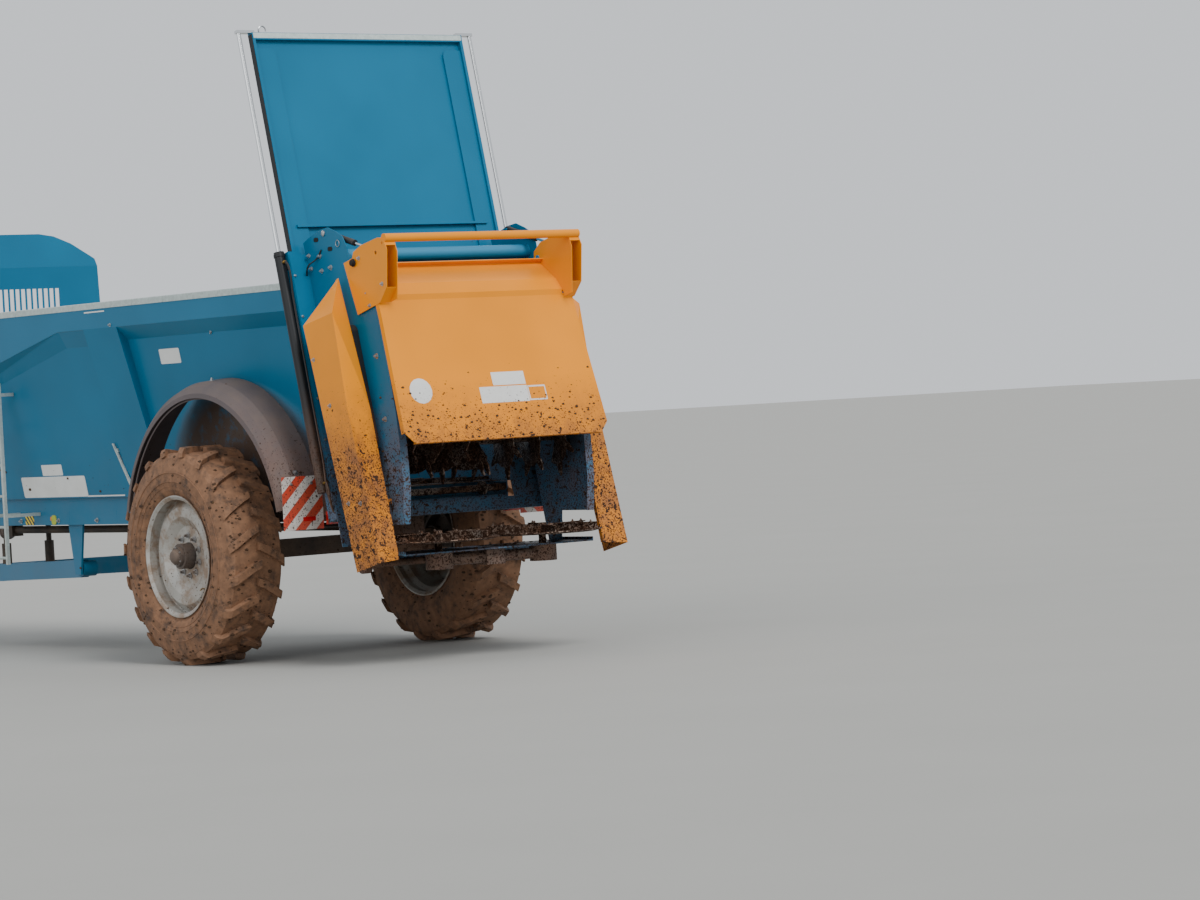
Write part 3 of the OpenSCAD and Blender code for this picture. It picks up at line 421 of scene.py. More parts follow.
# Extruded hose cover: black rubber with a fine wrapped-cloth print and a dusty bloom
hose_rubber = mottled("hose_rubber", "black", "#191919", 0.62, (60,), (
    "#151515", "#242322"), (1.0, 0.8), (2.5, 1.0, 0.5))
# Nearly black and matt: painted shade for the slots in the cheek, and the black heads of the hood's
# pins
dark_opening = mottled("dark_opening", "black", "#121110", 0.85, (12,), (
    "#0E0D0C", "#1C1917"), (0.3, 0.4))
# Moulded polypropylene with a fine matt grain, brown with dust on top
grained_plastic = mottled("grained_plastic", "moulding", "moulding", 0.62, (220,), (
    "moulding", "#5F5556"), (1.0, 0.8), (3, 2.0, 0.4), ior=1.49)
# Soft moulded cap over a grease point, yellow-green
green_cap = mottled("green_cap", "board", "#A9B62A", 0.45, (20,), (
    "#9AA826", "#B4C034"), (0.5, 0.6), ior=1.5)
# White sticker film on the paint; on the side's ledge it makes a strip of painted highlight
plate_white = mottled("plate_white", "board", "#DCDDDA", 0.4, (60,), (
    "#D2D4D1", "#E2E3E0"), (0.5, 1.0))


@partial(Finish, "galvanised", "pale", 0.5, metallic=0.55)
def galvanised_zinc(tree, shader):
    """Hot-dip zinc: pale grey crystals a few centimetres wide, dull after weather."""
    inputs = {"Vector": object_place(tree), "Scale": 40.0}
    cells = add(tree, "ShaderNodeTexVoronoi", inputs, feature="F1")["Color"]
    crystal = add(tree, "ShaderNodeSeparateColor", {0: cells})[0]
    soiled(tree, shader, blend(tree, crystal, "#B4C0BD", "pale"), 0.5, 0.8)


@partial(Finish, "chrome", "#D8DADB", 0.12, metallic=1.0)
def hard_chrome(tree, shader):
    """Ground and plated rod: nearly a mirror, with fine rings left by grinding."""
    bump(tree, shader, grain(tree, 4, 2.0, 0.6, (1.0, 1.0, 6.0)), 0.05, 0.3)


@partial(Finish, "rim", "silver", 0.4, metallic=0.35)
def silver_rim(tree, shader):
    """Silver lacquer on a pressed rim, filmed with soil."""
    clean = blend(tree, grain(tree, 70, 4.0), "#A4A39E", "silver")
    mud = fade(tree, grain(tree, 90, 6.0, 0.7), 0.46, 0.6)
    clean = blend(tree, times(tree, mud, 0.75), clean, "#84694F")
    soiled(tree, shader, clean, 0.55, 0.8, haze=0.3)


@partial(Finish, "tyre", "rubber", 0.8)
def muddy_rubber(tree, shader):
    """Tread rubber with soil pressed into it: brown between the lugs, darker where it is wet."""
    soil = fade(tree, grain(tree, 55, 6.0, 0.7), 0.26, 0.5)
    wet = blend(tree, grain(tree, 30, 4.0), "#563C2A", "#9A7051")
    tree.links.new(blend(tree, soil, "rubber", wet), shader.inputs["Base Color"])
    lumps = maths(tree, "ADD", soil, times(tree, grain(tree, 12, 4.0), 0.8))
    bump(tree, shader, lumps, 5, 0.9)


CLEAR = {"coat_weight": 0.8, "coat_roughness": 0.05, "ior": 1.49}


@partial(Finish, "lens", "#B01818", 0.15, **CLEAR)
def red_lens(tree, shader):
    """Clear red acrylic over a ribbed inside."""
    inputs = {"Vector": object_place(tree), "Scale": 60.0}
    wave = add(tree, "ShaderNodeTexWave", inputs, bands_direction="X")["Fac"]
    bump(tree, shader, wave, 0.6, 0.5)


@partial(Finish, "lens", "#D97A10", 0.16, **CLEAR)
def amber_lens(tree, shader):
    """Moulded amber acrylic with prisms behind its face."""
    inputs = {"Vector": object_place(tree), "Scale": 130.0}
    bump(tree, shader, add(tree, "ShaderNodeTexVoronoi", inputs)["Distance"], 1, 0.4)


@partial(Finish, "board", "#D8D6D0", 0.35)
def hatched_board(tree, shader):
    """Reflective sheeting on a plate: red and white bars at 45 degrees, falling outwards."""
    where = axes(tree, object_place(tree))
    along = maths(tree, "ADD", maths(tree, "ABSOLUTE", where[0]), where[2])
    clean = blend(tree, barred(tree, along, 200, (0.25, 0.246)), "#DAD8D2", "#C8321E")
    soiled(tree, shader, clean, 0.5, 0.8, haze=0.55)


@partial(Finish, "board", "#E3C81E", 0.4)
def striped_tape(tree, shader):
    """Printed film: yellow with black bars, for a point to take care at."""
    where = axes(tree, object_place(tree))
    along = maths(tree, "ADD", where[1], where[2])
    clean = blend(tree, barred(tree, along, 56, (0.27, 0.262)), "#E3C81E", "#1A1A18")
    soiled(tree, shader, clean, 0.3, 0.6)


@partial(Finish, "steel", "#3A261A", 0.88)
def fresh_muck(tree, shader):
    """Clods thrown up and stuck: wet brown straw and soil, rough and ragged."""
    straw = fade(tree, grain(tree, 5, 4.0, 0.7, (3.0, 1.0, 1.0)), 0.58, 0.66)
    base = blend(tree, grain(tree, 14, 4.0), "#241710", "#51361F")
    tree.links.new(blend(tree, straw, base, "#8A6A3E"), shader.inputs["Base Color"])
    bump(tree, shader, grain(tree, 6, 4.0, 0.7), 4, 0.8)


@partial(Finish, None, "#A09F9A", 0.85)
def studio_floor(tree, shader):
    clean = blend(tree, grain(tree, 900), "#9D9C97", "#A3A29D")
    tree.links.new(clean, shader.inputs["Base Color"])


CAD_FINISHES = {
    blue_enamel: ("side_left", "side_right", "headboard", "chassis", "drawbar", "jack_tube",
                  "rear_frame", "door", "cheeks", "table"),
    orange_enamel: ("hood", "wings"),
    black_enamel: ("drawbar_rams", "axle", "mudguard_stays", "driveline", "door_barrels",
                   "beater_drive", "hood_barrel_left", "hood_barrel_right", "lamp_arms"),
    galvanised_zinc: ("rail_caps", "jack_leg", "ladder", "side_lever"),
    worn_steel: ("floor", "floor_conveyor", "conveyor_shafts", "upper_beater", "lower_beater",
                 "disc_left", "disc_right", "hitch_ring"),
    sand_casting: ("hub_left", "hub_right", "disc_drives"),
    hard_chrome: ("door_rods", "hood_rod_left", "hood_rod_right"),
    silver_rim: ("rim_left", "rim_right"),
    muddy_rubber: ("tyre_left", "tyre_right"),
    grained_plastic: ("mudguards",),
    red_lens: ("tail_lamps",),
    hatched_board: ("marker_boards",),
}


# Meshes

def new_object(name, data):
    made = bpy.data.objects.new(name, data)
    bpy.context.scene.collection.objects.link(made)
    return made


def mesh_piece(name, mesh, finish, body):
    """A mesh becomes a piece of a body, with a finish."""
    piece = new_object(name, mesh)
    mesh.materials.clear()
    mesh.materials.append(finish.material)
    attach(piece, body)
    return piece


def from_bmesh(name, shape):
    mesh = bpy.data.meshes.new(name)
    shape.to_mesh(mesh)
    shape.free()
    return mesh


def label(name, node, place, direction, size, finish, body="frame", corner=0.1, up=UP,
          thickness=1.2):
    """A thin plate with rounded corners, sizes in mm, laid on a solid where a line through the
    place meets it. The corners' radius is a share of the shorter side."""
    spot, normal = seated(node, [place], direction)[0]
    along = up.cross(normal).normalized()
    rise = normal.cross(along)
    centre = spot + normal * SEAT
    radius = corner * min(size)
    rim = []
    for right, top, start in ((1, 1, 0), (-1, 1, 90), (-1, -1, 180), (1, -1, 270)):
        middle = (along * right * (size[0] / 2 - radius) + rise * top * (size[1] / 2 - radius)) * MM
        rim += [centre + middle + spoke(radius, start + 22.5 * step, along, rise)
                for step in range(5)]
    shape = bmesh.new()
    front = [shape.verts.new(p + normal * thickness * MM) for p in rim]
    back = [shape.verts.new(p) for p in rim]
    shape.faces.new(front)
    shape.faces.new(back[::-1])
    for i in range(len(rim)):
        shape.faces.new((back[i - 1], back[i], front[i], front[i - 1]))
    return mesh_piece(name, from_bmesh(name, shape), finish, body)


def shade_round(mesh, sharp=35):
    """Smooth shading that keeps edges sharper than an angle."""
    mesh.shade_smooth()
    mesh.set_sharp_from_angle(angle=math.radians(sharp))


def tube(name, points, radius, finish, body="frame", sides=10, steps=8, closed=False):
    """A round bar, hose or bead, radius in mm, on a smooth curve through points."""
    curve = bpy.data.curves.new(name, "CURVE")
    curve.dimensions = "3D"
    curve.bevel_depth = radius * MM
    curve.bevel_resolution = sides // 4 - 1
    curve.resolution_u = steps
    curve.use_fill_caps = not closed
    spline = curve.splines.new("BEZIER")
    spline.bezier_points.add(len(points) - 1)
    spline.use_cyclic_u = closed
    for knot, point in zip(spline.bezier_points, points):
        knot.co = point
        knot.handle_left_type = knot.handle_right_type = "AUTO"
    mesh = evaluated(name, curve)
    shade_round(mesh)
    return mesh_piece(name, mesh, finish, body)


def turned(name, profile, centre, axis, finish, body="frame", segments=32):
    """A lathe-turned piece: profile as (distance along the axis, radius) in mm."""
    side = axis.orthogonal().normalized()
    other = axis.cross(side)
    shape = bmesh.new()
    rings = []
    for along, radius in profile:
        middle = centre + axis * along * MM
        ring = circle(middle, radius, segments, 0, side, other) if radius else [middle]
        rings.append([shape.verts.new(place) for place in ring])
    for a, b in zip(rings, rings[1:]):
        for i in range(segments):
            j = (i + 1) % segments
            corners = [a[i % len(a)], a[j % len(a)], b[j % len(b)], b[i % len(b)]]
            unique = [v for k, v in enumerate(corners) if v not in corners[:k]]
            if len(unique) > 2:
                shape.faces.new(unique)
    bmesh.ops.recalc_face_normals(shape, faces=shape.faces)
    mesh = from_bmesh(name, shape)
    shade_round(mesh)
    return mesh_piece(name, mesh, finish, body)


def joined(name, pieces):
    """Several pieces of one body and one finish, as one piece."""
    shape = bmesh.new()
    for piece in pieces:
        shape.from_mesh(piece.data)
    kept = pieces[0]
    for piece in pieces[1:]:
        bpy.data.objects.remove(piece)
    shape.to_mesh(kept.data)
    shape.free()
    shade_round(kept.data)
    kept.name = name
    return kept


# Geometry Nodes

def new_graph(name, kinds):
    """A tree that takes a mesh, inputs of some kinds and a material; also gives its inputs."""
    tree = bpy.data.node_groups.new(name, "GeometryNodeTree")
    for socket, kind in {"Geometry": "Geometry", **kinds, "Material": "Material"}.items():
        tree.interface.new_socket(socket, in_out="INPUT", socket_type=f"NodeSocket{kind}")
    tree.interface.new_socket("Geometry", in_out="OUTPUT", socket_type="NodeSocketGeometry")
    return tree, add(tree, "NodeGroupInput")


def end_graph(tree, geometry, material):
    """Realises instances and sets their material."""
    real = add(tree, "GeometryNodeRealizeInstances", {0: geometry})[0]
    dressed = add(tree, "GeometryNodeSetMaterial", {0: real, "Material": material})[0]
    add(tree, "NodeGroupOutput", {0: dressed})
    return tree


def evaluated(name, data, tree=None, inputs=None):
    """The mesh of a curve, or of a mesh after a Geometry Nodes tree."""
    holder = new_object(name, data)
    if tree:
        modifier = holder.modifiers.new("Grow", "NODES")
        modifier.node_group = tree
        for item in tree.interface.items_tree:
            if item.item_type == "SOCKET" and item.in_out == "INPUT" and item.name in inputs:
                modifier[item.identifier] = inputs[item.name]
        bpy.context.view_layer.update()
    graph = bpy.context.evaluated_depsgraph_get()
    mesh = bpy.data.meshes.new_from_object(holder.evaluated_get(graph))
    bpy.data.objects.remove(holder)
    return mesh


def bolt_tree():
    """A washer and a hexagon head with its stud at each point, turned along its facing."""
    tree, source = new_graph("Bolt heads", {"Across flats": "Float"})
    flats = source["Across flats"]
    joint = tree.nodes.new("GeometryNodeJoinGeometry")
    # Sides, then radius, height and lift as shares of the size across flats
    parts = (6, 0.577, 0.62, 0.42), (16, 0.92, 0.12, 0.06), (12, 0.3, 0.4, 0.9)
    for sides, wide, tall, lift in parts:
        inputs = {"Vertices": sides, "Radius": times(tree, flats, wide),
                  "Depth": times(tree, flats, tall)}
        shape = add(tree, "GeometryNodeMeshCylinder", inputs)["Mesh"]
        lifted = add(tree, "ShaderNodeCombineXYZ", {2: times(tree, flats, lift)})[0]
        inputs = {"Geometry": shape, "Translation": lifted}
        tree.links.new(add(tree, "GeometryNodeTransform", inputs)[0], joint.inputs[0])
    facing = add(
        tree, "GeometryNodeInputNamedAttribute", {"Name": "facing"}, data_type="FLOAT_VECTOR")[0]
    turn = add(tree, "FunctionNodeAlignRotationToVector", {"Vector": facing}, axis="Z")[0]
    inputs = {"Points": source["Geometry"], "Instance": joint.outputs[0], "Rotation": turn}
    heads = add(tree, "GeometryNodeInstanceOnPoints", inputs)[0]
    return end_graph(tree, heads, source["Material"])


def bolts(name, spots, across, body="frame", finish=zinc_bolt):
    """Bolt heads at spots of (place, direction), as one piece of a body."""
    tree = bpy.data.node_groups.get("Bolt heads") or bolt_tree()
    points = bpy.data.meshes.new(name)
    points.from_pydata([p for p, _ in spots], [], [])
    facing = points.attributes.new("facing", "FLOAT_VECTOR", "POINT")
    facing.data.foreach_set("vector", [c for _, d in spots for c in d.normalized()])
    inputs = {"Across flats": across, "Material": finish.material}
    mesh_piece(name, evaluated(name, points, tree, inputs), finish, body)


def bead_tree():
    """Weld beads along edges, as a chain of small overlapping ripples."""
    tree, source = new_graph("Weld beads", {"Width": "Float"})
    path = add(tree, "GeometryNodeMeshToCurve", {"Mesh": source["Geometry"]})[0]
    inputs = {"Curve": path, "Length": times(tree, source["Width"], 1.1)}
    spaced = add(tree, "GeometryNodeResampleCurve", inputs, mode="LENGTH")[0]
    count = add(tree, "GeometryNodeInputIndex")[0]
    wave = maths(tree, "SINE", times(tree, count, 2.4))
    ripple = maths(tree, "ADD", 0.46, times(tree, wave, 0.09))
    section = add(tree, "GeometryNodeCurvePrimitiveCircle", {"Resolution": 6, "Radius": 1.0})[0]
    inputs = {"Curve": spaced, "Profile Curve": section, "Fill Caps": True,
              "Scale": times(tree, ripple, source["Width"])}
    solid = add(tree, "GeometryNodeCurveToMesh", inputs)[0]
    return end_graph(tree, solid, source["Material"])


def beads(name, edges, width):
    """Weld beads of a width in mm on the frame's edges, each edge a pair of places."""
    tree = bpy.data.node_groups.get("Weld beads") or bead_tree()
    path = bpy.data.meshes.new(name)
    pairs = [(2 * i, 2 * i + 1) for i in range(len(edges))]
    path.from_pydata([p for edge in edges for p in edge], pairs, [])
    inputs = {"Width": width * MM, "Material": blue_enamel.material}
    made = evaluated(name, path, tree, inputs)
    shade_round(made, 60)
    mesh_piece(name, made, blue_enamel, "frame")


def clod_tree():
    """Ragged clods scattered over faces, thick below a height and none above another."""
    tree, source = new_graph("Stuck clods", {
        "Density": "Float", "Size": "Float", "Thick below": "Float", "None above": "Float",
        "Seed": "Int"})
    where = add(tree, "GeometryNodeInputPosition")[0]
    lowness = fade(tree, axes(tree, where)[2], source["None above"], source["Thick below"])
    inputs = {"Vector": where, "Scale": 5.0, "Detail": 3.0}
    patches = fade(tree, add(tree, "ShaderNodeTexNoise", inputs)["Fac"], 0.35, 0.65)
    density = times(tree, maths(tree, "POWER", lowness, 2.0), patches)
    inputs = {"Mesh": source["Geometry"], "Density": times(tree, source["Density"], density),
              "Seed": source["Seed"]}
    points = add(tree, "GeometryNodeDistributePointsOnFaces", inputs,
                 distribute_method="RANDOM")
    # One lump, pushed out of round by noise
    lump = add(tree, "GeometryNodeMeshIcoSphere", {"Radius": 0.5, "Subdivisions": 2})["Mesh"]
    noise = add(tree, "ShaderNodeTexNoise", {"Scale": 2.4, "Detail": 2.0})["Color"]
    inputs = {0: noise, 1: (0.5, 0.5, 0.5)}
    push = add(tree, "ShaderNodeVectorMath", inputs, operation="SUBTRACT")[0]
    lump = add(tree, "GeometryNodeSetPosition", {"Geometry": lump, "Offset": push})[0]
    # Many small clods and few large ones, flatter than wide
    chance = add(tree, "FunctionNodeRandomValue", {"Seed": source["Seed"]}, data_type="FLOAT")
    share = maths(tree, "ADD", 0.25, maths(tree, "POWER", chance[1], 4.0))
    size = times(tree, share, source["Size"])
    scale = add(tree, "ShaderNodeCombineXYZ", {
        0: size, 1: times(tree, size, 0.75), 2: times(tree, size, 0.45)})[0]
    inputs = {"Points": points["Points"], "Instance": lump, "Rotation": points["Rotation"],
              "Scale": scale}
    heads = add(tree, "GeometryNodeInstanceOnPoints", inputs)[0]
    return end_graph(tree, heads, source["Material"])


def patch(node, keep, heights):
    """Copy of a solid's faces whose middle and facing pass a test, cut at heights so that clods
    thin out evenly."""
    shape = bmesh.new()
    shape.from_mesh(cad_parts[node].data)
    bmesh.ops.remove_doubles(shape, verts=shape.verts, dist=0.0001)
    unwanted = [f for f in shape.faces if not keep(f.calc_center_median(), f.normal)]
    bmesh.ops.delete(shape, geom=unwanted, context="FACES")
    for height in heights:
        everything = shape.verts[:] + shape.edges[:] + shape.faces[:]
        bmesh.ops.bisect_plane(shape, geom=everything, plane_co=(0, 0, height), plane_no=UP)
    return from_bmesh(f"{node}_patch", shape)


def clods(node, body, density, size, thick_below, none_above, keep, seed):
    """Clods on the faces of a solid that pass a test, sized in mm."""
    tree = bpy.data.node_groups.get("Stuck clods") or clod_tree()
    heights = [thick_below + (none_above - thick_below) * i / 6 for i in range(7)]
    name = f"{node}_muck"
    made = evaluated(name, patch(node, keep, heights), tree, {
        "Density": density, "Size": size * MM, "Thick below": thick_below,
        "None above": none_above, "Seed": seed, "Material": fresh_muck.material})
    shade_round(made, 80)
    mesh_piece(name, made, fresh_muck, body)


# Operators

class SPREADER_OT_stage(bpy.types.Operator):
    """Floor, soft light and the photograph's camera"""
    bl_idname = "spreader.stage"
    bl_label = "Studio"

    def execute(self, context):
        self.floor()
        self.lights(context.scene)
        self.camera(context.scene)
        return {"FINISHED"}

    def floor(self):
        half = 300.0
        corners = [(x * half, y * half, 0) for x, y in ((-1, -1), (1, -1), (1, 1), (-1, 1))]
        mesh = bpy.data.meshes.new("studio_floor")
        mesh.from_pydata(corners, [], [(0, 1, 2, 3)])
        floor = new_object("studio_floor", mesh)
        mesh.materials.append(studio_floor.material)

    def lights(self, scene):
        world = bpy.data.worlds.new("studio_sky")
        scene.world = world
        world.use_nodes = True
        sky = world.node_tree.nodes["Background"].inputs
        sky["Color"].default_value = linear("#E9EDF2")
        sky["Strength"].default_value = 1.0
        suns = (("key", 2.4, 25, (46, 0, 176)), ("fill", 0.85, 60, (72, 0, 108)))
        for name, strength, spread, turn in suns:
            lamp = bpy.data.lights.new(name, "SUN")
            lamp.energy = strength
            lamp.angle = math.radians(spread)
            new_object(name, lamp).rotation_euler = [math.radians(a) for a in turn]

    def camera(self, scene):
        view = photo()
        a, e, r = (math.radians(v) for v in (view.azimuth, view.elevation, view.roll))
        back = Vector((math.sin(a) * math.cos(e), -math.cos(a) * math.cos(e), math.sin(e)))
        level = Vector((math.cos(a), math.sin(a), 0))
        upright = back.cross(level)
        right = level * math.cos(r) - upright * math.sin(r)
        up = level * math.sin(r) + upright * math.cos(r)
        data = bpy.data.cameras.new("camera")
        data.lens = view.lens
        data.sensor_width = 36.0
        data.clip_end = 1000.0
        camera = new_object("camera", data)
        turn = Matrix((right, up, back)).transposed().to_4x4()
        ground = Vector((0, AXLE.y, 0))
        camera.matrix_world = Matrix.Translation(ground + Vector(view.place)) @ turn
        scene.camera = camera


class SPREADER_OT_finishes(bpy.types.Operator):
    """Paint, metal, rubber and plastic on the solids"""
    bl_idname = "spreader.finishes"
    bl_label = "Finishes"

    def execute(self, context):
        for finish, nodes in CAD_FINISHES.items():
            for node in nodes:
                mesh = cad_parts[node].data
                mesh.materials.clear()
                mesh.materials.append(finish.material)
        return {"FINISHED"}


# The cap's profile: distance along the axle and radius, in mm
GREASE_CAP = ((-1, 0), (-1, 66), (6, 66), (8, 62), (20, 60), (34, 50), (40, 34), (42, 0))


class SPREADER_OT_wheels(bpy.types.Operator):
    """Wheel nuts, grease caps, valves and the ribs on the tyres' walls"""
    bl_idname = "spreader.wheels"
    bl_label = "Wheels"

    stud_count: IntProperty(name="Studs", description="Studs in the circle", default=10)
    stud_circle: length("Stud circle", "Diameter", 0.335)

    def execute(self, context):
        for side, name in SIDES:
            self.wheel(name, LEFT * side)
        return {"FINISHED"}

    def wheel(self, name, outward):
        body, hub = f"wheel_{name}", f"hub_{name}"
        far = AXLE + outward * 1.3
        studs = circle(far, self.stud_circle / 2 / MM, self.stud_count, 90)
        nuts = [(end - outward * 34 * MM, outward) for end, _ in seated(hub, studs, -outward)]
        bolts(f"wheel_nuts_{name}", nuts, fasteners().wheel_nut, body)
        end, _ = seated(hub, [far], -outward)[0]
        turned(f"grease_cap_{name}", GREASE_CAP, end, outward, sand_casting, body)
        ring = [(place, outward) for place in circle(end + outward * MM, 73, 6, 30)]
        bolts(f"cap_bolts_{name}", ring, 10 * MM, body)
        # Valve on the rim's slope
        stem = Vector((0, 0.30, -0.27)).normalized() * 0.40
        base, _ = seated(f"rim_{name}", [far + stem], -outward)[0]
        path = [base - outward * 4 * MM, base + outward * 22 * MM,
                base + outward * 46 * MM + Vector((0, 0.012, -0.011))]
        tube(f"valve_{name}", path, 5.5, brass_fitting, body)
        ribs = []
        for k, radius in enumerate((585, 625, 700)):
            wall, _ = seated(f"tyre_{name}", [far + BEHIND * radius * MM], -outward)[0]
            hoop = circle(AXLE + LEFT * wall.x, radius, 24)
            ribs.append(tube(f"rib_{k}", hoop, 4 + k, muddy_rubber, body, 8, 3, closed=True))
        joined(f"tyre_ribs_{name}", ribs)


# Plates by name: place and size in mm, and for the hood the corners' share
WALL_PLATES = {
    "side_plate": ((SKIRT, -3185, 1490), (1170, 190)),
    "side_plate_small": ((SKIRT, -3164, 1642), (370, 100)),
    # A thin white strip painted as the highlight along the ledge at the foot of the side panel
    "side_strip": ((SKIRT, -2286, 1399), (660, 12)),
    "wall_plate": ((RAIL, -769, 2580), (330, 130)),
    "fascia_strip": ((RAIL, -1790, 3010), (350, 11)),
}
HOOD_PLATES = {
    "hood_round_plate": ((745, 2639, 2155), (210, 210), 0.5),
    "hood_plate_wide": ((-45, 2658, 2096), (465, 135), 0.03),
    "hood_plate_upper": ((-115, 2619, 2222), (320, 110), 0.03),
    "hood_plate_edged": ((-368, 2658, 2096), (175, 125), 0.06),
}


class SPREADER_OT_plates(bpy.types.Operator):
    """Blank plates, tapes and reflectors laid on the panels, a white strip painted as a highlight
    on the side's ledge, and black patches painted as the shade in the cheek's slots
    """
    bl_idname = "spreader.plates"
    bl_label = "Plates"

    def execute(self, context):
        for name, (place, size) in WALL_PLATES.items():
            label(name, "side_left", at(*place), -LEFT, size, plate_white)
        forward = Vector((0, -0.95, -0.3))
        for name, (place, size, corner) in HOOD_PLATES.items():
            label(name, "hood", at(*place), forward, size, plate_white, "hood", corner)
        label("hood_plate_field", "hood", at(-368, 2658, 2096), forward, (155, 100),
              orange_enamel, "hood", 0.06, thickness=1.8)
        label("care_tape", "chassis", at(SKIRT, -3790, 1186), -LEFT, (160, 80), striped_tape,
              corner=0.02)
        label("grease_cap_plate", "chassis", at(SKIRT, -3330, 1188), -LEFT, (80, 85), green_cap,
              corner=0.3, thickness=8)
        # Black patches on the cheek's lobe, painted as the shade seen through its slots
        for k, (y, z) in enumerate(((1547, 3415), (1744, 3330))):
            label(f"cheek_slot_shade_{k}", "cheeks", at(CHEEK, y, z), -LEFT, (70, 36), dark_opening,
                  corner=0.5)
        for side, name in SIDES:
            self.side(name, side, LEFT * -side)
        return {"FINISHED"}

    def side(self, name, side, inward):
        for k, y in enumerate((-5300, -3350, -1400, 1300)):
            label(f"side_reflector_{name}_{k}", "chassis", at(side * SKIRT, y, 1200), inward,
                  (90, 35), amber_lens, corner=0.2, thickness=6)
        label(f"rear_reflector_{name}", "lamp_arms", at(side * 1110, 1480, 1185), -BEHIND,
              (120, 35), red_lens, corner=0.2, thickness=6)
        # Cover straps over the joints of the rail's cap
        straps = [label(f"strap_{k}", "rail_caps", at(side * RAIL, y, 3060), inward, (14, 46),
                        galvanised_zinc, corner=0.02, thickness=3)
                  for k, y in enumerate((-4234, -3202, -2170, -1138, -622))]
        joined(f"cap_straps_{name}", straps)


# Bolts on faces that look sideways: name, solid, distance from the middle, places behind and
# above in mm, share of a body bolt's size, body
SIDE_BOLTS = (
    ("cheek_bolts", "cheeks", CHEEK, (
        (1431, 3293), (1592, 3283), (1457, 3187), (1609, 3162), (1743, 3182), (1640, 2800),
        (1720, 2450), (1840, 1950), (2250, 2950), (2330, 2450), (2400, 1950)), 1, "frame"),
    ("ear_bolts", "hood", EAR, ((2490, 3010), (2300, 2850), (2180, 3230)), 0.8, "hood"),
    ("wing_bolts", "wings", WING, (
        (1850, 2450), (2240, 1305), (2410, 1305), (2050, 2080)), 0.8, "frame"),
    ("skirt_bolts", "chassis", SKIRT, [(y, 1180) for y in range(-5350, 1500, 700)], 1, "frame"),
)


class SPREADER_OT_fastenings(bpy.types.Operator):
    """Bolt heads on the sheets, frames and guards"""
    bl_idname = "spreader.fastenings"
    bl_label = "Bolts"

    def execute(self, context):
        for side, name in SIDES:
            self.side(side, name)
        table = [at(x, 2010, 900) for x in range(-840, 841, 280)]
        self.rows("table_bolts", "table", table, -UP, 18, 0.1, finish=worn_bolt)
        slats = [at(x, y, 1450) for y in range(-5200, 1400, 320) for x in (-690, -520, 520, 690)]
        self.rows("slat_bolts", "floor_conveyor", slats, -UP, 16, 0.12, finish=worn_bolt)
        hitch = [at(x, y, 700) for x in (-60, 60) for y in (-7050, -6970)]
        self.rows("hitch_bolts", "drawbar", hitch, -UP, self.size(1.2), 0.4)
        return {"FINISHED"}

    def size(self, share):
        """Across flats in mm, as a share of a body bolt's."""
        return fasteners().bolt / MM * share

    def rows(self, name, node, places, direction, across, reach=0.3, **options):
        bolts(name, seated(node, places, direction, reach), across * MM, **options)

    def side(self, side, name):
        inward = LEFT * -side
        for row, node, x, places, share, body in SIDE_BOLTS:
            places = [at(side * x, y, z) for y, z in places]
            self.rows(f"{row}_{name}", node, places, inward, self.size(share), body=body)
        fascia = [at(side * RAIL, y, z) for y, z in ((-1527, 2885), (-29, 2750))]
        self.rows(f"fascia_bolt_{name}", f"side_{name}", fascia, inward, 18)
        middle = at(side * GUARD, *GUARD_ARC)
        guard = [spoke(1345, angle) for angle in (25, 90, 155)]
        spots = [seated("mudguards", [middle + p], -p, 0.4)[0] for p in guard]
        bolts(f"guard_bolts_{name}", spots, fasteners().bolt)
        post = [lean(side * 1073, 56, up) for up in (120, 420, 760, 1100, 1440, 1780)]
        self.rows(f"post_bolts_{name}", "rear_frame", post, -SLOPE_OUT, self.size(0.9))
        foot = [at(side * x, -5508, z) for x in (300, 620) for z in (1440, 1500)]
        foot += [at(side * 1040, -5508, z) for z in (2950, 3150, 3350)]
        self.rows(f"headboard_bolts_{name}", "headboard", foot, BEHIND, self.size(1))
        board = [at(side * x, 1530, 1470) for x in (1075, 1265)]
        self.rows(f"board_bolts_{name}", "marker_boards", board, -BEHIND, 14, 0.2)
        blades = [place for radius in (160, 330, 420)
                  for place in circle(at(side * 510, 2420, 1000), radius, 6, 4, LEFT, BEHIND)]
        self.rows(f"disc_bolts_{name}", f"disc_{name}", blades, -UP, 16, 0.12,
                  body=f"disc_{name}", finish=worn_bolt)


class SPREADER_OT_welds(bpy.types.Operator):
    """Weld beads where sheets and beams meet"""
    bl_idname = "spreader.welds"
    bl_label = "Weld beads"

    def execute(self, context):
        for side, name in SIDES:
            edges = [(at(side * 752, y, 1150), at(side * 752, y, 1270))
                     for y in (-4500, -3800, -3050, -2200, -1350, -620, 300, 1200)]
            beads(f"cross_member_welds_{name}", edges, 7)
            foot = [(lean(side * 1000, 58, -225), lean(side * 1000, 58, -130))]
            beads(f"post_foot_welds_{name}", foot, 8)
        return {"FINISHED"}


# Other turned profiles: distance along the axis and radius, in mm
DOOR_GLAND = ((0, 41), (0, 43), (3, 47), (26, 47), (30, 43), (42.5, 43), (43.5, 32), (44.5, 22),
              (42.5, 22))
PORT = ((0, 13), (26, 13), (26, 9), (40, 9), (40, 0))
HOOD_PIN = ((0, 0), (0, 32), (6, 32), (8, 30), (8, 24), (22, 24), (24, 21), (24, 0))
FOOT_PIN = ((0, 0), (0, 24), (9, 24), (11, 21), (11, 0))
JACK_HEAD = ((0, 0), (0, 46), (8, 46), (10, 40), (34, 36), (36, 0))
INPUT_GUARD = ((0, 58), (0, 62), (-20, 64), (-120, 88), (-120, 92), (-150, 92), (-150, 88),
               (-124, 86), (-22, 61), (0, 58))

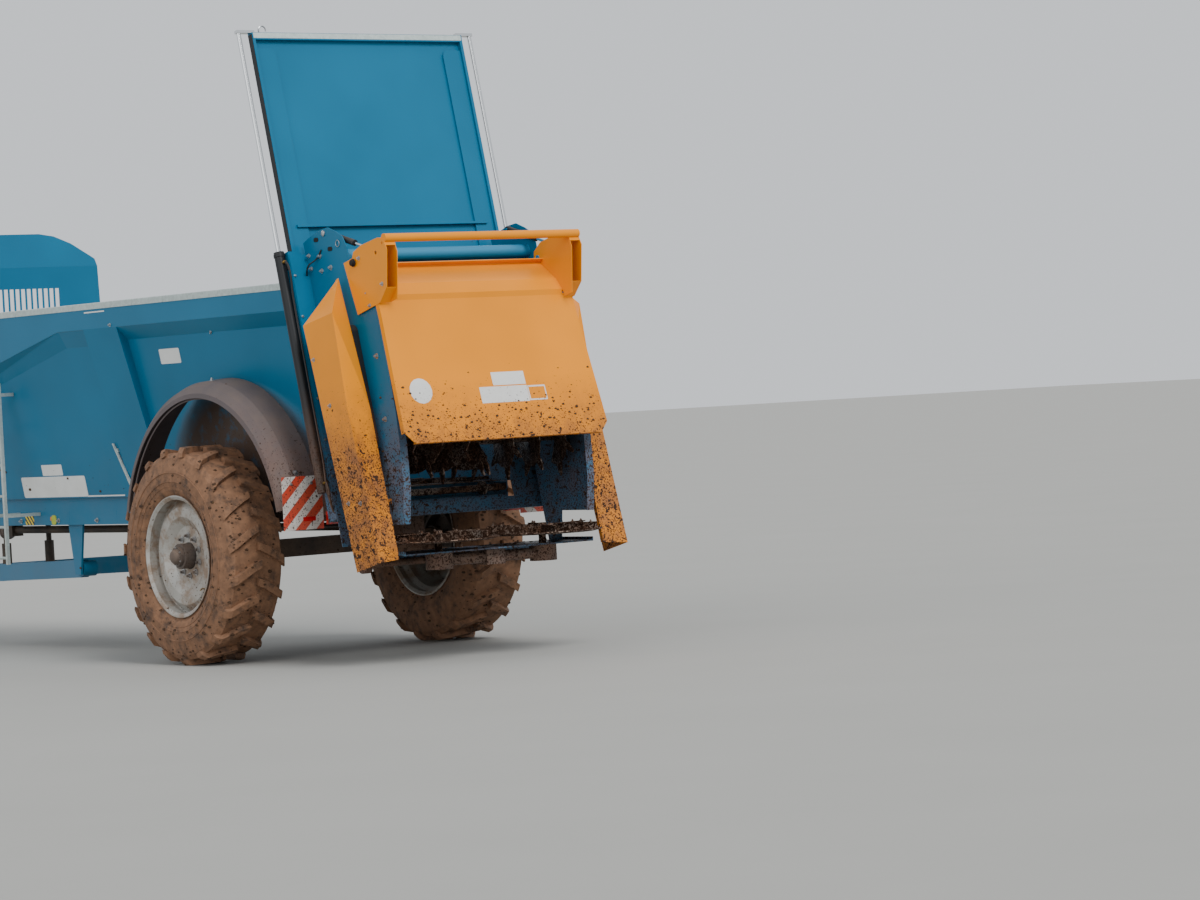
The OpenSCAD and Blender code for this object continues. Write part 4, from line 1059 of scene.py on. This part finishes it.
# Hoses of the door's cylinders on the leaning frame, and of the cheek, in mm
DOOR_HOSES = {
    "door_hose": ((1145, 76, 1900), (1145, 106, 1840), (1130, 68, 1600), (1128, 62, 1000),
                  (1128, 62, 300), (1110, 40, -120), (1000, -30, -215)),
    "door_hose_low": ((1145, 76, 70), (1146, 90, 20), (1120, 50, -130), (1020, -20, -222)),
}
CHEEK_HOSE = ((940, 1400, 3120), (975, 1450, 3160), (985, 1500, 3215), (950, 1560, 3260),
              (936, 1620, 3330))
# The jack's crank, as steps in mm from where its shaft enters the head
CRANK = ((0, 13, 0), (0, -50, 0), (10, -70, -20), (30, -70, -170), (30, -90, -190),
         (30, -190, -190))


class SPREADER_OT_fittings(bpy.types.Operator):
    """Glands, hoses, pins, rings, the jack's crank and the shaft's guard"""
    bl_idname = "spreader.fittings"
    bl_label = "Fittings"

    def execute(self, context):
        for side, name in SIDES:
            self.door_cylinder(side, name)
            self.hood_side(side, name)
            self.lamp(side, name)
            middle = at(side * 1266, *GUARD_ARC)
            lip = [middle + spoke(1200, 12 + 156 * i / 16) for i in range(17)]
            tube(f"guard_lip_{name}", lip, 8, grained_plastic, sides=8, steps=4)
            # Black strip down the door's edge where it runs in the post: painted shade for the
            # door's shaded side face
            label(f"door_edge_shade_strip_{name}", "door", lean(side * 1060, 4, 2872), LEFT * -side,
                  (58, 1930), black_enamel, "door", 0.02, SLOPE_UP, 2)
        self.door_top()
        self.jack()
        # Open-ended moulded cone round the input stub
        turned("input_guard", INPUT_GUARD, at(0, -5492, 1060), BEHIND, grained_plastic)
        return {"FINISHED"}

    def door_cylinder(self, side, name):
        turned(f"door_gland_{name}", DOOR_GLAND, lean(side * DOOR_RAM, 0, 1952), SLOPE_UP,
               black_enamel)
        ports = [turned(f"port_{up}", PORT, lean(side * DOOR_RAM, 36, up), SLOPE_OUT,
                        brass_fitting, segments=12) for up in (70, 1900)]
        joined(f"door_ports_{name}", ports)
        for hose, places in DOOR_HOSES.items():
            path = [lean(side * x, out, up) for x, out, up in places]
            tube(f"{hose}_{name}", path, 9, hose_rubber)

    def hood_side(self, side, name):
        outward = LEFT * side
        turned(f"hood_pin_head_{name}", HOOD_PIN, at(side * (EAR + 9), 2109, 3198), outward,
               dark_opening)
        turned(f"foot_pin_head_{name}", FOOT_PIN, at(side * CHEEK, 1660, 3460), outward, zinc_bolt)
        ring = circle(at(side * (CHEEK + 8), 1867, 3367), 26, 10)
        tube(f"pin_ring_{name}", ring, 3, zinc_bolt, sides=8, steps=3, closed=True)
        path = [at(side * x, y, z) for x, y, z in CHEEK_HOSE]
        tube(f"cheek_hose_{name}", path, 7, hose_rubber)

    def lamp(self, side, name):
        bars = []
        for k in range(4):
            places = ((1531, 1134), (1534, 1182), (1531, 1231))
            path = [at(side * (805 + 50 * k), y, z) for y, z in places]
            bars.append(tube(f"rim_{k}", path, 2.5, black_enamel, sides=6, steps=3))
        joined(f"lamp_bars_{name}", bars)

    def door_top(self):
        # Pale channel along the door's top, with the ring that the door is lifted by
        label("door_top_channel", "door", lean(0, 60, 3824), -SLOPE_OUT, (2060, 45),
              galvanised_zinc, "door", 0.02, SLOPE_UP, 2)
        hoop = circle(lean(912, -10, 3852) + UP * 30 * MM, 34, 12, 0, LEFT, UP)
        tube("lift_ring", hoop, 6, zinc_bolt, "door", 8, 3, closed=True)

    def jack(self):
        low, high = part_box("jack_tube")
        head = Vector((low.x + 0.052, (low.y + high.y) / 2, high.z))
        turned("jack_head", JACK_HEAD, head - UP * 4 * MM, UP, black_enamel)
        side = head + Vector((0, -0.06, -0.07))
        tube("jack_crank", [side + Vector(step) * MM for step in CRANK], 8, zinc_bolt)


# Clods by solid, where {} stands for both sides: body, clods to the square metre, size in mm,
# height in metres below which they lie thick, height above which there are none, and a test of
# a face's place and facing
MUCK = {
    "hood": ("hood", 2600, 22, 1.8, 2.35, lambda p, n: n.y > 0.5),
    "wings": ("frame", 800, 24, 0.8, 2.1, lambda p, n: p.x > 0 or n.y > 0.3),
    "cheeks": ("frame", 700, 24, 1.0, 2.5, lambda p, n: abs(n.x) > 0.5 and p.y > AXLE.y + 1.4),
    "mudguards": ("frame", 350, 26, 0.9, 2.6, None),
    "tyre_{}": ("wheel_{}", 420, 34, 1.2, 2.4, None),
    "rim_{}": ("wheel_{}", 300, 18, 0.6, 1.5, None),
    "side_{}": ("frame", 60, 34, 1.35, 2.0, lambda p, n: abs(n.x) > 0.7),
    "door": ("door", 90, 40, 3.2, 3.75, lambda p, n: n.y > 0.5 or n.z > 0.5),
    "table": ("frame", 300, 34, 0.8, 1.2, lambda p, n: n.z > 0.5),
    "marker_boards": ("frame", 40, 24, 0.9, 1.8, lambda p, n: n.y > 0.5),
    "chassis": ("frame", 70, 30, 1.0, 1.6, lambda p, n: abs(n.x) > 0.5 or n.z > 0.5),
    "lower_beater": ("lower_beater", 160, 30, 1.2, 3.0, None),
}


class SPREADER_OT_muck(bpy.types.Operator):
    """Clods stuck low and towards the rear"""
    bl_idname = "spreader.muck"
    bl_label = "Stuck muck"

    amount: FloatProperty(
        name="Amount", description="Share of the usual number of clods", default=1.0)

    def execute(self, context):
        for seed, (node, row) in enumerate(MUCK.items(), 1):
            body, density, size, thick_below, none_above, keep = row
            for name in ("left", "right") if "{}" in node else ("",):
                clods(node.format(name), body.format(name), density * self.amount, size,
                      thick_below, none_above, keep or (lambda place, facing: True), seed)
        return {"FINISHED"}


class SPREADER_PT_panel(bpy.types.Panel):
    """Buttons for the steps and fields for the settings"""
    bl_idname = "SPREADER_PT_panel"
    bl_label = "Manure Spreader"
    bl_space_type = "VIEW_3D"
    bl_region_type = "UI"
    bl_category = "Spreader"

    def draw(self, context):
        for operator in OPERATORS:
            self.layout.operator(operator.bl_idname)
        for settings in (photo(), colours(), dirt(), fasteners()):
            box = self.layout.box()
            for name in settings.__annotations__:
                box.prop(settings, name)


OPERATORS = (SPREADER_OT_stage, SPREADER_OT_finishes, SPREADER_OT_wheels, SPREADER_OT_plates,
             SPREADER_OT_fastenings, SPREADER_OT_welds, SPREADER_OT_fittings, SPREADER_OT_muck)
SETTINGS = {
    "spreader_photo": PhotoSettings,
    "spreader_colours": ColourSettings,
    "spreader_dirt": DirtSettings,
    "spreader_fasteners": FastenerSettings,
}


def register():
    for cls in (*SETTINGS.values(), *OPERATORS, SPREADER_PT_panel):
        bpy.utils.register_class(cls)
    for name, cls in SETTINGS.items():
        setattr(bpy.types.Scene, name, PointerProperty(type=cls))


def unregister():
    for name in SETTINGS:
        delattr(bpy.types.Scene, name)
    for cls in reversed((*SETTINGS.values(), *OPERATORS, SPREADER_PT_panel)):
        bpy.utils.unregister_class(cls)


def main():
    register()
    for operator in OPERATORS:
        group, name = operator.bl_idname.split(".")
        getattr(getattr(bpy.ops, group), name)()


if __name__ == "__main__":
    main()
